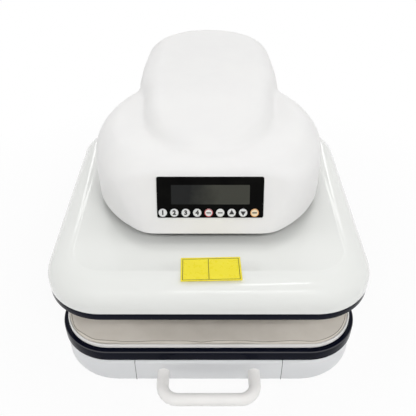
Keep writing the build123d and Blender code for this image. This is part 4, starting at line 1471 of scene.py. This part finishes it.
    def print_key(self, key: str, glyph: Glyph) -> None:
        """Print one key.

        Args:
            key: the key's CAD node.
            glyph: what is printed on it.
        """
        name = f"{key}_print"
        settle()
        if glyph in RINGS:
            piece = self.ring(name)
        elif glyph is Glyph.BAR:
            piece = self.bar.plate(name, 0.0, segments=3)
        elif glyph in (Glyph.UP, Glyph.DOWN):
            piece = self.triangle(name, glyph is Glyph.UP)
        else:
            piece = self.number(name, glyph.value)
        settle()
        dress(piece, RINGS.get(glyph, INK_BLACK))
        if glyph in RINGS:
            bar = self.bar.plate(f"{name}_bar", 0.0, segments=3)
            settle()
            dress(bar, INK_BLACK)
            piece = join([piece, bar], name)
        outward(piece)
        apply_modifier(piece, "SOLIDIFY", thickness=self.print_depth, offset=1.0)
        self.lay(piece, *self.spot(key), self.depth_of(key))
        fit(piece, Slot.KEY_GREY, f"{key}_cap")

    def build(self) -> None:
        """Lay the overlay and print all its keys."""
        self.build_sheets()
        for key, glyph in PRINTS.items():
            self.print_key(key, glyph)


# ---------------------------------------------------------------------------------------------
# the CAD pieces that stay, and the studio
# ---------------------------------------------------------------------------------------------


@dataclass
class KeptPieces:
    """The CAD pieces that are shown as they are, each in its slot's finish, the base in a white
    with painted shade.
    """

    # the base pieces get the white with painted shade
    base: tuple[str, ...] = ("base_shell", "drawer_front")

    def build(self) -> None:
        """Dress every CAD node by its slot in the record, and the base in a greyer, bluer white
        that paints shade and a cool cast of light on it.
        """
        slots = {slot.label: slot.finish for slot in Slot}
        for row in frame["record"]["subparts"]:
            name, label = row["node"], row["material_slot"]
            dress(frame["nodes"][name], SHADED_BASE_WHITE if name in self.base else slots[label])
            LOG.info("%s: kept, %s", name, label)


@dataclass(frozen=True)
class Lamp:
    """A soft rectangular lamp that faces the press.

    Args:
        name: the lamp's name.
        place: where it hangs.
        size: its sides in metres.
        power: in watts.
        mirrored: whether glossy surfaces show it.
    """

    name: str
    place: Triple
    size: Span
    power: float
    mirrored: bool = False

    def hang(self, aim: Vector) -> None:
        """Hang the lamp.

        Args:
            aim: the point that it faces.
        """
        data = bpy.data.lights.new(self.name, "AREA")
        data.shape = "RECTANGLE"
        data.size, data.size_y = self.size
        data.energy = self.power
        lamp = bpy.data.objects.new(self.name, data)
        lamp.visible_glossy = self.mirrored
        bpy.context.scene.collection.objects.link(lamp)
        place = Vector(self.place)
        turn = (aim - place).to_track_quat("-Z", "Y").to_matrix().to_4x4()
        lamp.matrix_world = Matrix.Translation(place) @ turn


LAMPS = (
    Lamp("overhead_softbox", (0.0, 0.45, 2.1), (2.0, 1.1), 8.8),
    Lamp("front_softbox", (0.2, -1.5, 1.7), (1.8, 0.4), 24.0),
    Lamp("left_softbox", (-2.0, -0.3, 1.2), (1.2, 0.8), 12.0),
    Lamp("right_softbox", (2.0, -0.3, 1.2), (1.2, 0.8), 11.0),
    Lamp("rear_softbox", (0.0, 2.2, 1.3), (1.8, 0.6), 12.5),
    Lamp("upper_strip", (0.30, -0.35, 1.9), (0.42, 0.10), 0.7, True),
    Lamp("lower_strip", (0.14, -1.3, 1.7), (0.67, 0.10), 0.7, True),
    Lamp("left_strip", (-0.9, 1.5, 1.3), (0.10, 1.6), 1.0, True),
    Lamp("right_strip", (0.9, 1.5, 1.3), (0.10, 1.6), 1.0, True),
)


@dataclass
class Studio:
    """A plain pale floor, soft lamps and the camera."""

    floor_size: float = 12.0
    floor_drop: float = 0.0002
    floor_colour: Colour = (0.88, 0.88, 0.88)
    near_glow: float = 0.90
    near: float = 0.35
    far: float = 0.70
    backdrop: float = 1.0
    ambient: float = 0.15
    aim: Vector = Vector((0.0, 0.0, 0.15))
    camera_place: Vector = Vector((0.0, -0.68145, 0.68563))
    pitch: float = math.radians(37.59)
    lens: float = 47.03
    sensor: float = 36.0
    shift: Span = (-0.0017, -0.0090)
    reach: Span = (0.01, 50.0)

    def build_camera(self) -> None:
        """The camera at the front, looking down on the press."""
        data = bpy.data.cameras.new("camera")
        data.lens, data.sensor_width = self.lens, self.sensor
        data.shift_x, data.shift_y = self.shift
        data.clip_start, data.clip_end = self.reach
        camera = bpy.data.objects.new("camera", data)
        bpy.context.scene.collection.objects.link(camera)
        camera.matrix_world = Matrix.Translation(self.camera_place) @ Matrix.Rotation(
            math.pi / 2 - self.pitch, 4, "X")
        bpy.context.scene.camera = camera

    def build_floor(self) -> None:
        """The pale floor, which keeps the object's shadow and fades out of sight."""
        settle()
        bpy.ops.mesh.primitive_plane_add(size=self.floor_size,
                                         location=(0.0, 0.0, -self.floor_drop))
        floor = named(bpy.context.active_object, "floor")
        board = MaterialBoard("studio_floor")
        board.fill(board.shader, Base_Color=(*self.floor_colour, 1.0), Roughness=1.0,
                   Specular_IOR_Level=0.0)
        glow = board.fill(board.add("ShaderNodeEmission"), Color=WHITE, Strength=1.0)
        path = board.add("ShaderNodeLightPath").outputs
        away = board.add("ShaderNodeVectorMath", operation="LENGTH")
        board.link(board.place, away.inputs[0])
        share = board.reckon(
            "MULTIPLY", board.reckon("MAXIMUM", path["Is Camera Ray"], path["Is Glossy Ray"]),
            board.ranged(away.outputs["Value"], self.near_glow, 1.0, self.near, self.far))
        blend = board.add("ShaderNodeMixShader")
        parts = (share, board.shader.outputs["BSDF"], glow.outputs["Emission"])
        for source, target in zip(parts, blend.inputs):
            board.link(source, target)
        board.link(blend.outputs["Shader"], board.output.inputs["Surface"])
        floor.data.materials.append(board.material)

    def build_world(self) -> None:
        """A white surround for the camera and for reflections, and a plainer light."""
        world = bpy.data.worlds.new("surround")
        bpy.context.scene.world = world
        world.use_nodes = True
        board = NodeBoard(world.node_tree, "ShaderNodeOutputWorld")
        back = board.fill(board.add("ShaderNodeBackground"), Color=WHITE)
        path = board.add("ShaderNodeLightPath").outputs
        clear = board.reckon("MAXIMUM", path["Is Glossy Ray"], path["Is Transmission Ray"])
        seen = board.reckon("MAXIMUM", path["Is Camera Ray"], clear)
        board.link(board.ranged(seen, self.ambient, self.backdrop, 0.0, 1.0),
                   back.inputs["Strength"])
        board.link(back.outputs["Background"], board.output.inputs["Surface"])

    def build(self) -> None:
        """Set up camera, floor, surround and lamps."""
        self.build_camera()
        self.build_floor()
        self.build_world()
        for lamp in LAMPS:
            lamp.hang(self.aim)
        bpy.context.scene.view_settings.view_transform = "Standard"


def main() -> None:
    """Build the studio and every piece in order."""
    logging.basicConfig(level=logging.INFO, format="%(name)s: %(message)s")
    Studio().build()
    KeptPieces().build()
    ControlHead().build()
    UpperPlaten().build()
    LowerDrawer().build()
    ControlPanel().build()
    settle()


if __name__ == "__main__":
    main()
